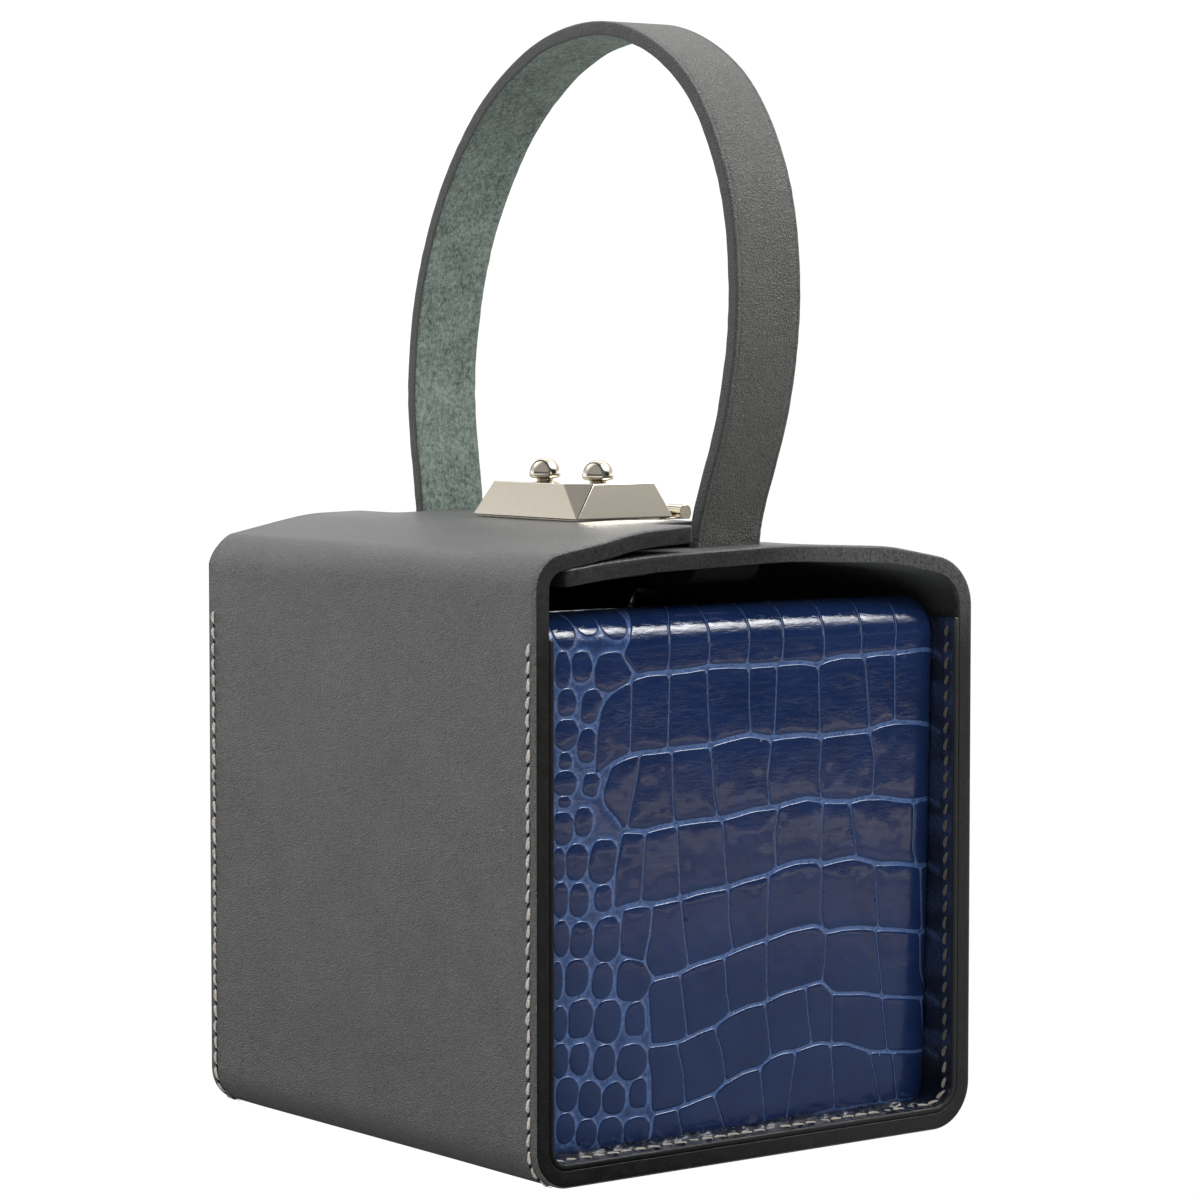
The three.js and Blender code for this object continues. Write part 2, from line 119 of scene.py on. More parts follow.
SIDE_CREASES = [
    [
        [(-29.0, 127.5), (-32.0, 119.7), (-33.5, 116.3), (-35.4, 113.6), (-30.6, 108.3)],
        [(-17.0, 127.5), (-21.4, 119.2), (-22.1, 109.9)],
        [(-9.0, 127.5), (-10.0, 118.9), (-10.2, 110.3)],
        [(2.3, 127.5), (2.1, 118.6), (1.3, 110.0)],
        [(13.3, 127.5), (12.3, 118.4), (11.7, 109.9)],
        [(25.6, 127.5), (24.4, 119.3), (24.5, 110.2)],
        [(37.3, 127.5), (36.1, 119.1), (36.0, 110.7)],
        [(48.7, 127.5), (47.2, 119.1), (46.6, 110.9)],
        [(58.9, 127.5), (58.9, 116.9), (59.7, 110.9)],
    ],
    [
        [(-38.5, 104.9), (-41.0, 102.0), (-42.3, 96.0), (-42.6, 86.5)],
        [(-32.7, 105.6), (-32.7, 92.4)],
        [(-21.7, 107.8), (-21.9, 92.3)],
        [(-10.7, 108.0), (-10.1, 98.2), (-9.5, 93.0)],
        [(1.9, 108.2), (2.0, 99.6), (2.6, 94.0)],
        [(10.2, 108.0), (10.0, 100.2), (9.7, 93.3)],
        [(22.9, 107.7), (23.7, 92.3)],
        [(37.2, 108.8), (39.2, 92.9)],
        [(46.6, 108.9), (47.2, 94.4)],
        [(59.9, 109.3), (59.8, 93.2)],
    ],
    [
        [(-38.2, 87.7), (-40.3, 82.8), (-39.7, 79.7), (-35.4, 75.6), (-34.8, 74.2)],
        [(-29.9, 89.7), (-30.8, 84.7), (-31.7, 80.6), (-33.2, 74.6)],
        [(-20.6, 89.6), (-20.2, 79.3), (-19.6, 74.9)],
        [(-9.3, 90.2), (-8.1, 78.5), (-7.2, 76.3)],
        [(8.8, 90.9), (7.8, 82.1), (8.5, 77.3)],
        [(24.3, 90.5), (23.8, 81.0), (24.6, 77.0)],
        [(39.6, 90.9), (41.1, 84.6), (40.7, 76.7)],
        [(58.8, 91.1), (57.8, 76.0)],
    ],
    [
        [(-34.7, 72.4), (-36.5, 64.6), (-36.7, 58.0)],
        [(-28.0, 72.1), (-28.5, 64.0), (-29.0, 57.6)],
        [(-18.8, 73.0), (-17.7, 58.5)],
        [(-5.5, 73.5), (-3.8, 59.9)],
        [(11.3, 74.9), (10.4, 69.8), (10.9, 63.2)],
        [(25.3, 75.3), (24.7, 63.4)],
        [(33.7, 74.7), (35.7, 64.1), (35.9, 63.0)],
        [(53.7, 73.5), (53.6, 61.7), (54.6, 60.2)],
        [(59.6, 73.1), (59.7, 59.6)],
    ],
    [
        [(-25.7, 54.8), (-26.3, 48.9), (-27.6, 43.9), (-27.4, 42.1), (-25.1, 39.2)],
        [(-17.3, 55.3), (-16.1, 47.4), (-15.0, 41.9)],
        [(-3.3, 57.2), (-2.9, 49.4), (-1.8, 44.3)],
        [(8.8, 59.1), (8.7, 46.8)],
        [(25.0, 60.4), (25.1, 49.0), (25.7, 46.8)],
        [(41.8, 59.4), (43.2, 45.8)],
        [(56.1, 57.1), (56.9, 44.1)],
        [(60.1, 56.8), (60.2, 43.8)],
    ],
    [
        [(-26.7, 36.0), (-25.5, 24.5)],
        [(-17.3, 38.7), (-16.1, 31.9), (-15.0, 25.7)],
        [(-4.1, 41.4), (-3.3, 33.7), (-2.4, 29.9)],
        [(8.6, 43.9), (8.9, 32.5), (9.2, 31.9)],
        [(26.8, 44.1), (26.6, 38.2), (26.0, 33.7)],
        [(42.6, 43.2), (44.7, 30.0)],
        [(56.4, 41.4), (56.8, 32.1), (58.8, 28.1)],
        [(60.3, 41.0), (60.2, 28.0)],
    ],
    [
        [(-26.4, 21.0), (-25.3, 16.2), (-25.0, 8.4)],
        [(-17.6, 21.8), (-15.8, 16.2), (-15.2, 10.4)],
        [(-6.4, 24.8), (-4.3, 19.6), (-3.2, 14.0)],
        [(8.5, 29.1), (9.4, 23.9), (10.4, 18.3)],
        [(20.9, 32.1), (21.7, 25.3), (22.8, 19.9)],
        [(29.1, 29.4), (29.2, 19.2)],
        [(44.8, 27.3), (45.7, 20.1), (46.5, 15.7)],
        [(57.2, 25.5), (58.8, 14.4)],
        [(60.3, 25.2), (60.2, 14.2)],
    ],
    [
        [(-24.4, 5.2), (-25.3, 0.6)],
        [(-17.3, 7.0), (-15.5, 0.5)],
        [(-6.4, 9.3), (-2.9, 1.0)],
        [(7.4, 13.8), (8.9, 2.5)],
        [(18.0, 16.4), (15.7, 2.5)],
        [(28.9, 17.1), (30.2, 5.1), (30.3, 2.4)],
        [(41.2, 14.1), (44.7, 2.9)],
        [(48.4, 13.3), (50.1, 2.8)],
        [(59.2, 12.2), (59.8, 2.2)],
    ],
]
LONE_SCALE = [(-34.2, 55.4), (-35.0, 50.0), (-34.9, 45.2), (-30.6, 43.9), (-28.0, 43.0), (-27.9, 44.2), (-26.6, 49.0), (-25.9, 55.3), (-29.3, 55.9)]
SMALL_SCALES = [
    (-51.1, 120.6, 4.9, 8.1, 0),
    (-44.3, 124.4, 6.5, 16.7, 0),
    (-36.5, 124.1, 7.1, 19.6, 0),
    (-52.2, 110.9, 3.3, 7.1, 0),
    (-47.0, 111.4, 6.2, 7.3, 0),
    (-38.3, 109.8, 8.9, 7.2, 0),
    (-50.9, 103.5, 5.1, 6.3, 0),
    (-43.8, 102.2, 6.1, 8.0, 8),
    (-50.8, 96.3, 5.3, 6.0, 0),
    (-44.6, 93.5, 5.3, 6.7, 5),
    (-51.0, 90.4, 4.9, 6.0, 0),
    (-51.0, 85.5, 5.1, 5.1, 8),
    (-43.6, 84.8, 6.5, 8.3, 12),
    (-51.1, 81.3, 4.9, 3.5, 8),
    (-51.3, 75.7, 4.3, 7.4, 0),
    (-45.7, 76.4, 5.2, 6.5, 6),
    (-38.7, 76.0, 7.0, 5.3, 0),
    (-52.4, 67.4, 2.4, 7.8, 0),
    (-47.7, 67.5, 6.0, 7.9, 8),
    (-39.9, 66.8, 7.0, 9.1, 8),
    (-51.9, 59.3, 3.1, 6.9, 0),
    (-46.8, 58.8, 5.3, 7.7, 0),
    (-39.7, 58.6, 5.8, 6.3, 0),
    (-51.6, 50.4, 3.3, 6.7, 0),
    (-46.2, 49.7, 5.9, 7.7, 6),
    (-38.7, 49.3, 6.1, 8.4, 6),
    (-52.5, 41.0, 1.9, 10.0, 0),
    (-47.4, 41.0, 6.3, 8.1, 5),
    (-40.0, 39.5, 6.1, 9.1, 5),
    (-31.0, 39.1, 8.6, 8.2, 0),
    (-51.7, 31.1, 3.0, 6.5, 0),
    (-46.1, 31.7, 5.9, 8.4, 4),
    (-38.3, 30.3, 6.6, 8.7, 4),
    (-29.8, 30.1, 7.7, 10.6, 2),
    (-51.4, 22.6, 3.4, 6.5, 0),
    (-46.1, 22.5, 5.4, 7.9, 3),
    (-39.0, 20.7, 5.7, 8.5, 2),
    (-31.1, 20.1, 7.2, 6.6, 2),
    (-49.3, 14.8, 5.0, 6.4, 0),
    (-42.9, 12.9, 5.4, 7.3, 0),
    (-36.0, 12.4, 6.5, 8.0, 0),
    (-28.6, 12.7, 6.5, 9.5, 0),
    (-49.6, 7.0, 4.8, 6.6, 0),
    (-43.7, 5.1, 5.5, 6.1, 0),
    (-36.9, 4.5, 5.7, 5.7, 0),
    (-29.3, 4.0, 7.4, 5.5, 0),
]


# ------------------------------------------------------------------ helpers
def smoothstep(t):
    t = np.clip(t, 0.0, 1.0)
    return t * t * (3 - 2 * t)


def rounded(rows, closed=False, step=0.035):
    """Points and unit tangents of a polyline with its corners rounded to each row's radius."""
    pts, n = [], len(rows)
    for i, (a, b, r) in enumerate(rows):
        p = np.array([a, b], float)
        if not r or (not closed and i in (0, n - 1)):
            pts.append(p)
            continue
        u = np.array(rows[(i - 1) % n][:2], float) - p
        w = np.array(rows[(i + 1) % n][:2], float) - p
        u /= np.linalg.norm(u)
        w /= np.linalg.norm(w)
        half = math.acos(max(-1.0, min(1.0, float(u @ w)))) / 2
        centre = p + (u + w) / np.linalg.norm(u + w) * r / math.sin(half)
        start = p + u * r / math.tan(half) - centre
        turn = math.pi - 2 * half
        sign = -np.sign(u[0] * w[1] - u[1] * w[0])
        steps = max(4, int(turn / step))
        for k in range(steps + 1):
            t = sign * turn * k / steps
            c, s = math.cos(t), math.sin(t)
            pts.append(centre + np.array([start[0] * c - start[1] * s, start[0] * s + start[1] * c]))
    return np.array(pts)


class Path:
    """A plane line by its length s, with its normal to the right of travel."""

    def __init__(self, pts):
        keep = np.r_[True, np.linalg.norm(np.diff(pts, axis=0), axis=1) > 1e-6]
        self.p = pts[keep]
        seg = np.diff(self.p, axis=0)
        length = np.linalg.norm(seg, axis=1)
        self.s = np.r_[0, np.cumsum(length)]
        t = seg / length[:, None]
        self.t = np.vstack([t[:1], t[:-1] + t[1:], t[-1:]])
        self.t /= np.linalg.norm(self.t, axis=1)[:, None]
        self.length = self.s[-1]

    def at(self, s):
        s = np.asarray(s, float)
        p = np.stack([np.interp(s, self.s, self.p[:, k]) for k in (0, 1)], -1)
        t = np.stack([np.interp(s, self.s, self.t[:, k]) for k in (0, 1)], -1)
        t /= np.linalg.norm(t, axis=-1, keepdims=True)
        n = np.stack([t[..., 1], -t[..., 0]], -1)
        return p, n, t


def make(name, verts, faces, materials, index=None, smooth=True, floats=None):
    me = bpy.data.meshes.new(name)
    me.from_pydata((np.asarray(verts, float) * MM).tolist(), [], [tuple(map(int, f)) for f in faces])
    for m in materials:
        me.materials.append(m)
    if index is not None:
        me.polygons.foreach_set("material_index", np.asarray(index, np.int32))
    if smooth:
        me.polygons.foreach_set("use_smooth", np.ones(len(me.polygons), bool))
    for key, values in (floats or {}).items():
        me.attributes.new(key, "FLOAT", "POINT").data.foreach_set("value", np.asarray(values, np.float32))
    me.update()
    o = bpy.data.objects.new(name, me)
    bpy.context.scene.collection.objects.link(o)
    return o


def inside(points, loops):
    """Even-odd test of points against closed loops."""
    points = np.asarray(points, float)
    hit = np.zeros(len(points), bool)
    for loop in loops:
        a = np.asarray(loop, float)
        b = np.roll(a, -1, axis=0)
        for k in range(0, len(points), 4000):
            p = points[k : k + 4000]
            cond = (a[None, :, 1] > p[:, None, 1]) != (b[None, :, 1] > p[:, None, 1])
            with np.errstate(divide="ignore", invalid="ignore"):
                x = (b[:, 0] - a[:, 0])[None] * (p[:, None, 1] - a[None, :, 1]) / (b[:, 1] - a[:, 1])[None] + a[None, :, 0]
            hit[k : k + 4000] ^= (np.sum(cond & (p[:, None, 0] < x), axis=1) % 2).astype(bool)
    return hit


def inset(loop, d):
    """A closed loop moved to its left by d, corner by corner."""
    loop = np.asarray(loop, float)
    e = np.roll(loop, -1, axis=0) - loop
    e /= np.maximum(np.linalg.norm(e, axis=1), 1e-9)[:, None]
    before = np.roll(e, 1, axis=0)
    n = np.stack([-(e[:, 1] + before[:, 1]), e[:, 0] + before[:, 0]], -1)
    n /= np.maximum(np.linalg.norm(n, axis=1), 1e-9)[:, None]
    cos = np.maximum(0.6, n[:, 0] * -before[:, 1] + n[:, 1] * before[:, 0])
    return loop + n * (d / cos)[:, None]


def fill(loops, points):
    """Triangles of the flat region between closed loops, with extra points inside it.
    Gives all the points, the loops' first and in order, and the faces."""
    verts, edges = [], []
    for loop in loops:
        k = len(verts)
        verts += [tuple(p) for p in loop]
        edges += [(k + i, k + (i + 1) % len(loop)) for i in range(len(loop))]
    verts += [tuple(p) for p in points]
    out, _, tris, origin, _, _ = delaunay_2d_cdt([Vector(v) for v in verts], edges, [], 0, 1e-6)
    out = np.array([tuple(v) for v in out])
    table = np.zeros(len(out), int)
    for i, o in enumerate(origin):
        if o:
            table[i] = min(o)
        else:
            table[i] = len(verts)
            verts.append(tuple(out[i]))
    tris = np.array([f for f in tris if len(f) == 3], int)
    a, b, c = (out[tris[:, k]] for k in range(3))
    area = (b[:, 0] - a[:, 0]) * (c[:, 1] - a[:, 1]) - (b[:, 1] - a[:, 1]) * (c[:, 0] - a[:, 0])
    keep = inside(out[tris].mean(axis=1), loops) & (np.abs(area) > 1e-9)
    tris, area = tris[keep], area[keep]
    tris[area < 0] = tris[area < 0][:, ::-1]
    return np.array(verts), table[tris]


def noise2(x, y, seed, scale):
    """Smooth seeded value noise in -1..1."""
    x, y = np.asarray(x, float) / scale, np.asarray(y, float) / scale
    rng = np.random.default_rng(seed)
    table = rng.uniform(-1, 1, (64, 64))
    xi, yi = np.floor(x).astype(int), np.floor(y).astype(int)
    fx, fy = smoothstep(x - xi), smoothstep(y - yi)
    g = lambda a, b: table[a % 64, b % 64]
    return (g(xi, yi) * (1 - fx) + g(xi + 1, yi) * fx) * (1 - fy) + (g(xi, yi + 1) * (1 - fx) + g(xi + 1, yi + 1) * fx) * fy


def sweep_section(points, normals_in, up, section):
    """Rings of a closed section carried along a line. section rows are (side, out)."""
    rings = []
    for side, out in section:
        rings.append(points + normals_in * out + up * side)
    return np.stack(rings, 1)


def tube_faces(n, m, caps=True):
    faces = []
    for i in range(n - 1):
        for j in range(m):
            k = (j + 1) % m
            faces.append((i * m + j, i * m + k, (i + 1) * m + k, (i + 1) * m + j))
    if caps:
        faces.append(tuple(range(m))[::-1])
        faces.append(tuple((n - 1) * m + j for j in range(m)))
    return faces


# ------------------------------------------------------------------ materials
class Nodes:
    def __init__(self, name, tree=None):
        if tree is not None:
            self.t = tree
            return
        self.m = bpy.data.materials.new(name)
        self.m.use_nodes = True
        self.t = self.m.node_tree
        self.t.nodes.clear()
        self.out = self.t.nodes.new("ShaderNodeOutputMaterial")
        self.b = self.t.nodes.new("ShaderNodeBsdfPrincipled")
        self.t.links.new(self.b.outputs[0], self.out.inputs["Surface"])

    def link(self, a, b):
        self.t.links.new(a, b)

    def new(self, kind, **values):
        n = self.t.nodes.new(kind)
        for k, v in values.items():
            setattr(n, k, v)
        return n

    def coords(self):
        return self.new("ShaderNodeTexCoord").outputs["Object"]

    def noise(self, vector, scale, detail=2.0, rough=0.5, distort=0.0):
        n = self.new("ShaderNodeTexNoise")
        n.inputs["Scale"].default_value = scale
        n.inputs["Detail"].default_value = detail
        n.inputs["Roughness"].default_value = rough
        n.inputs["Distortion"].default_value = distort
        self.link(vector, n.inputs["Vector"])
        return n.outputs["Fac"]

    def voronoi(self, vector, scale, feature="F1", rand=1.0):
        n = self.new("ShaderNodeTexVoronoi", feature=feature)
        n.inputs["Scale"].default_value = scale
        n.inputs["Randomness"].default_value = rand
        self.link(vector, n.inputs["Vector"])
        return n.outputs["Distance"]

    def attribute(self, name):
        return self.new("ShaderNodeAttribute", attribute_name=name).outputs["Fac"]

    def math(self, op, a, b=None, c=None, clamp=False):
        n = self.new("ShaderNodeMath", operation=op, use_clamp=clamp)
        for i, v in enumerate((a, b, c)):
            if v is None:
                continue
            if isinstance(v, (int, float)):
                n.inputs[i].default_value = v
            else:
                self.link(v, n.inputs[i])
        return n.outputs[0]

    def ramp(self, fac, stops, interp="LINEAR"):
        n = self.new("ShaderNodeValToRGB")
        n.color_ramp.interpolation = interp
        e = n.color_ramp.elements
        while len(e) < len(stops):
            e.new(0.5)
        for el, (pos, col) in zip(e, stops):
            el.position = pos
            el.color = (*col, 1.0) if not isinstance(col, (int, float)) else (col, col, col, 1.0)
        self.link(fac, n.inputs[0])
        return n.outputs[0]

    def range(self, v, a, b, c=0.0, d=1.0, smooth=True):
        n = self.new("ShaderNodeMapRange", interpolation_type="SMOOTHSTEP" if smooth else "LINEAR")
        for i, x in enumerate((a, b, c, d)):
            n.inputs[1 + i].default_value = x
        self.link(v, n.inputs[0])
        return n.outputs[0]

    def mix(self, fac, a, b, blend="MIX"):
        n = self.new("ShaderNodeMix", data_type="RGBA", blend_type=blend)
        for k, v in ((0, fac), (6, a), (7, b)):
            sock = n.inputs[k]
            if isinstance(v, (int, float)):
                sock.default_value = v if k == 0 else (v, v, v, 1.0)
            elif isinstance(v, tuple):
                sock.default_value = (*v, 1.0)
            else:
                self.link(v, sock)
        return n.outputs[2]

    def xyz(self, vector):
        n = self.new("ShaderNodeSeparateXYZ")
        self.link(vector, n.inputs[0])
        return n.outputs

    def scale(self, vector, x, y, z):
        n = self.new("ShaderNodeMapping")
        n.inputs["Scale"].default_value = (x, y, z)
        self.link(vector, n.inputs["Vector"])
        return n.outputs[0]

    def bump(self, height, strength, distance, normal=None):
        n = self.new("ShaderNodeBump")
        n.inputs["Strength"].default_value = strength
        n.inputs["Distance"].default_value = distance
        self.link(height, n.inputs["Height"])
        if normal is not None:
            self.link(normal, n.inputs["Normal"])
        return n.outputs[0]

    def set(self, **values):
        for k, v in values.items():
            sock = self.b.inputs[k.replace("_", " ")]
            if isinstance(v, (int, float)):
                sock.default_value = v
            elif isinstance(v, tuple):
                sock.default_value = (*v, 1.0)
            else:
                self.link(v, sock)
        return self


def srgb(r, g, b):
    return tuple(((c / 255 + 0.055) / 1.055) ** 2.4 if c > 10 else c / 255 / 12.92 for c in (r, g, b))


def grain_leather(name, colour, dark):
    n = Nodes(name)
    p = n.coords()
    cloud = n.noise(p, 60, 3, 0.6)
    fine = n.noise(p, 2500, 2, 0.65)
    speck = n.noise(p, 1100, 3, 0.7)
    tone = n.math("ADD", n.math("MULTIPLY", cloud, 0.10), n.math("ADD", n.math("MULTIPLY", fine, 0.55), n.math("MULTIPLY", speck, 0.35)))
    col = n.ramp(tone, [(0.36, dark), (0.64, colour)])
    n.set(Base_Color=col, Roughness=n.range(fine, 0.3, 0.7, 0.33, 0.47))
    n.set(Specular_IOR_Level=0.5)
    pores = n.voronoi(p, 2300)
    height = n.math("ADD", n.math("MULTIPLY", pores, 0.6), n.math("MULTIPLY", fine, 0.8))
    n.set(Normal=n.bump(height, 1.0, 0.00032, n.bump(n.noise(p, 160, 3, 0.6), 0.08, 0.0006)))
    return n.m


def cut_edge(name):
    """Painted cut edge: near black and smooth on the walls, greyer and rougher on the flaps. Along x both go from
    darker on the left to lighter on the right: painted shade and painted light.
    """
    n = Nodes(name)
    p = n.coords()
    z = n.xyz(p)[2]
    flap = n.range(z, 0.112, 0.134)
    fine = n.noise(p, 1500, 3, 0.7)
    coarse = n.noise(p, 420, 3, 0.6)
    # Wall edges: painted shade on the left (near black) and painted light on the right, blended by x.
    left = n.ramp(fine, [(0.3, srgb(5, 5, 5)), (0.7, srgb(11, 10, 10))])
    right = n.ramp(fine, [(0.3, srgb(22, 22, 22)), (0.7, srgb(32, 31, 30))])
    dark = n.mix(n.range(n.xyz(p)[0], -0.04, 0.05), left, right)
    # Flap edges: painted shade on the left and painted light further right, blended by x.
    flap_edge_painted_shade = n.ramp(fine, [(0.34, srgb(13, 13, 14)), (0.68, srgb(39, 39, 40))])
    flap_edge_painted_light = n.ramp(fine, [(0.34, srgb(38, 38, 38)), (0.68, srgb(80, 80, 81))])
    grey = n.mix(n.range(n.xyz(p)[0], -0.01, 0.03), flap_edge_painted_shade, flap_edge_painted_light)
    n.set(Base_Color=n.mix(flap, dark, grey), Roughness=n.range(coarse, 0.3, 0.7, 0.38, 0.62))
    n.set(Specular_IOR_Level=0.4)
    n.set(Normal=n.bump(n.math("ADD", fine, n.math("MULTIPLY", coarse, 0.6)), 0.5, 0.00018))
    return n.m


def suede(name, light, dark, nap=0.9, walls=None):
    n = Nodes(name)
    p = n.coords()
    blotch = n.noise(p, 110, 3, 0.6, 0.6)
    fibre = n.noise(n.scale(p, 1, 1, 0.7), 1700, 3, 0.75, 0.5)
    speck = n.noise(p, 750, 3, 0.7)
    tone = n.math("ADD", n.math("MULTIPLY", blotch, 0.18), n.math("ADD", n.math("MULTIPLY", fibre, 0.42), n.math("MULTIPLY", speck, 0.40)))
    col = n.ramp(tone, [(0.38, dark), (0.62, light)])
    # Below z 0.128 the suede turns to the darker walls colour: painted shade on the inner walls inside the bag.
    if walls is not None:
        col = n.mix(n.range(n.xyz(p)[2], 0.128, 0.133), n.ramp(tone, [(0.38, walls), (0.62, tuple(c * 1.5 for c in walls))]), col)
    n.set(Base_Color=col, Roughness=0.93, Specular_IOR_Level=0.15)
    n.set(Sheen_Weight=0.12, Sheen_Roughness=0.5)
    n.set(Normal=n.bump(n.math("ADD", fibre, n.math("MULTIPLY", speck, 0.8)), nap, 0.0003))
    return n.m


def croc_leather(name, low, high, line, line_high, gloss=0.13, crumple=False):
    n = Nodes(name)
    p = n.coords()
    crease = n.attribute("crease")
    cloud = n.noise(p, 70, 3, 0.6)
    fine = n.noise(p, 1300, 3, 0.7, 0.6)
    navy = n.ramp(n.math("ADD", n.math("MULTIPLY", cloud, 0.6), n.math("MULTIPLY", fine, 0.4)), [(0.34, low), (0.66, high)])
    blue = n.ramp(fine, [(0.3, line), (0.7, line_high)])
    worn = n.math("MULTIPLY", crease, n.range(fine, 0.25, 0.6, 0.72, 1.0), clamp=True)
    n.set(Base_Color=n.mix(n.math("POWER", worn, 0.9), navy, blue))
    n.set(Roughness=n.math("ADD", n.range(crease, 0.1, 0.9, gloss, gloss + 0.28), n.math("MULTIPLY", fine, 0.04)))
    n.set(Specular_IOR_Level=0.5, Coat_Weight=0.35, Coat_Roughness=0.05)
    roll = n.range(n.xyz(p)[2], 0.116, 0.124)
    wrinkle = n.noise(n.scale(p, 0.35, 1, 1.5), 520, 4, 0.6, 1.0)
    height = n.math("MULTIPLY", wrinkle, n.math("MULTIPLY_ADD", roll, 1.3, 1.3))
    base = None
    if crumple:
        low = n.range(n.xyz(p)[2], 0.010, 0.02, 1.0, 0.12)
        base = n.bump(n.math("MULTIPLY", n.noise(n.scale(p, 0.7, 1, 1), 560, 4, 0.7, 1.5), low), 1.0, 0.0042)
    n.set(Normal=n.bump(n.math("ADD", height, n.math("MULTIPLY", fine, 0.4)), 0.30, 0.00015, base))
    return n.m


def nickel(name, tint, rough):
    n = Nodes(name)
    p = n.coords()
    haze = n.noise(p, 350, 3, 0.6)
    hair = n.noise(n.scale(p, 1, 14, 14), 900, 2, 0.5)
    n.set(Base_Color=n.ramp(haze, [(0.3, tint), (0.75, tuple(c * 0.96 for c in tint))]), Metallic=1.0)
    n.set(Roughness=n.math("ADD", n.range(haze, 0.3, 0.7, rough, rough + 0.04), n.math("MULTIPLY", hair, 0.02)))
    n.set(Normal=n.bump(hair, 0.04, 0.00003))
    return n.m


def thread_material(name, light, dark, bottom_painted_light=None):
    n = Nodes(name)
    p = n.coords()
    ply = n.noise(p, 2600, 2, 0.6, 1.5)
    col = n.ramp(ply, [(0.32, dark), (0.68, light)])
    # Stitches low on the bottom flange (z under 0.010) get a lighter colour than those up the sides: painted light.
    if bottom_painted_light is not None:
        low = n.ramp(ply, [(0.32, tuple(c * 0.4 for c in bottom_painted_light)), (0.68, bottom_painted_light)])
        col = n.mix(n.range(n.xyz(p)[2], 0.010, 0.022), low, col)
    n.set(Base_Color=col, Roughness=0.6, Specular_IOR_Level=0.35)
    n.set(Normal=n.bump(ply, 0.8, 0.00025))
    return n.m


def plain_dark(name, colour, rough=0.8):
    n = Nodes(name)
    p = n.coords()
    n.set(Base_Color=n.ramp(n.noise(p, 1800, 2, 0.6), [(0.3, colour), (0.7, tuple(c * 1.5 for c in colour))]), Roughness=rough, Specular_IOR_Level=0.2)
    return n.m


GRAIN = grain_leather("grey_calf", srgb(98, 98, 97), srgb(60, 60, 60))
EDGE = cut_edge("cut_edge")
# The last colour darkens the suede on the inner walls: painted shade.
BACK = suede("suede_back", srgb(66, 76, 71), srgb(36, 42, 40), 0.9, srgb(38, 37, 40))
# Near-black colour for the strap where it runs under the flaps: painted shade, the strap itself being grey calf.
STRAP_PAINTED_SHADE = plain_dark("strap_painted_shade", srgb(15, 15, 16))
STRAP_GRAIN = grain_leather("strap_calf", srgb(88, 88, 85), srgb(49, 49, 47))
STRAP_BACK = suede("strap_suede", srgb(136, 150, 141), srgb(66, 75, 70), 1.0)
CROC = croc_leather("blue_croc", srgb(14, 30, 62), srgb(22, 39, 76), srgb(46, 70, 112), srgb(78, 104, 150), 0.08)
# The flange is the same blue croc as the panel, coloured darker: painted shade for the fold inside the band.
FLANGE_PAINTED_SHADE = croc_leather("blue_croc_flange_painted_shade", srgb(17, 22, 38), srgb(27, 34, 54), srgb(40, 54, 88), srgb(62, 82, 124), 0.06, crumple=True)
METAL = nickel("nickel", (0.74, 0.678, 0.57), 0.07)
THREAD = thread_material("thread", srgb(226, 218, 210), srgb(142, 130, 124))
# The inside stitches are the same thread as the outside ones, coloured darker: painted shade; lighter along the bottom:
# painted light.
INNER_THREAD_SHADED = thread_material("inner_thread_painted_shade", srgb(124, 115, 104), srgb(70, 63, 57), srgb(190, 182, 172))
# Near-black colour for the awl holes beside the stitches: painted shade.
AWL_HOLE_SHADE = plain_dark("stitch_slit", srgb(14, 13, 13))


# ------------------------------------------------------------------ leather band
def recalc(o):
    import bmesh

    bm = bmesh.new()
    bm.from_mesh(o.data)
    bmesh.ops.recalc_face_normals(bm, faces=bm.faces)
    bm.to_mesh(o.data)
    bm.free()
    o.data.update()


band = Path(rounded(BAND))


def s_where(axis, value, lo, hi):
    """Length along the band where the outer face passes a value of x or z."""
    s = np.linspace(lo, hi, 4000)
    c = band.at(s)[0][:, axis]
    k = np.nonzero((c[:-1] - value) * (c[1:] - value) <= 0)[0][0]
    return s[k] + (value - c[k]) / (c[k + 1] - c[k]) * (s[k + 1] - s[k])


S_FLAP = s_where(0, FLAP_END, 0, 60)
S_LEFT = s_where(1, STITCH_TOP, 90, 200)
S_RIGHT = s_where(1, STITCH_TOP, 340, band.length)
S_BACK_FLAP = s_where(0, 30.0, S_RIGHT, band.length)


def spread(lo, hi):
    """Lengths along the band, close together where it bends tightly."""
    s = np.linspace(lo, hi, 6000)
    _, _, t = band.at(s)
    turn = np.abs(np.gradient(np.unwrap(np.arctan2(t[:, 1], t[:, 0])), s))
    step = np.clip(0.10 / np.maximum(turn, 1e-4), 0.55, 2.2)
    step = np.minimum.reduce([np.roll(step, k) for k in range(-12, 13, 3)])
    count = np.r_[0, np.cumsum((s[1:] - s[:-1]) / step[:-1])]
    return np.interp(np.arange(1, int(count[-1])), count, s)


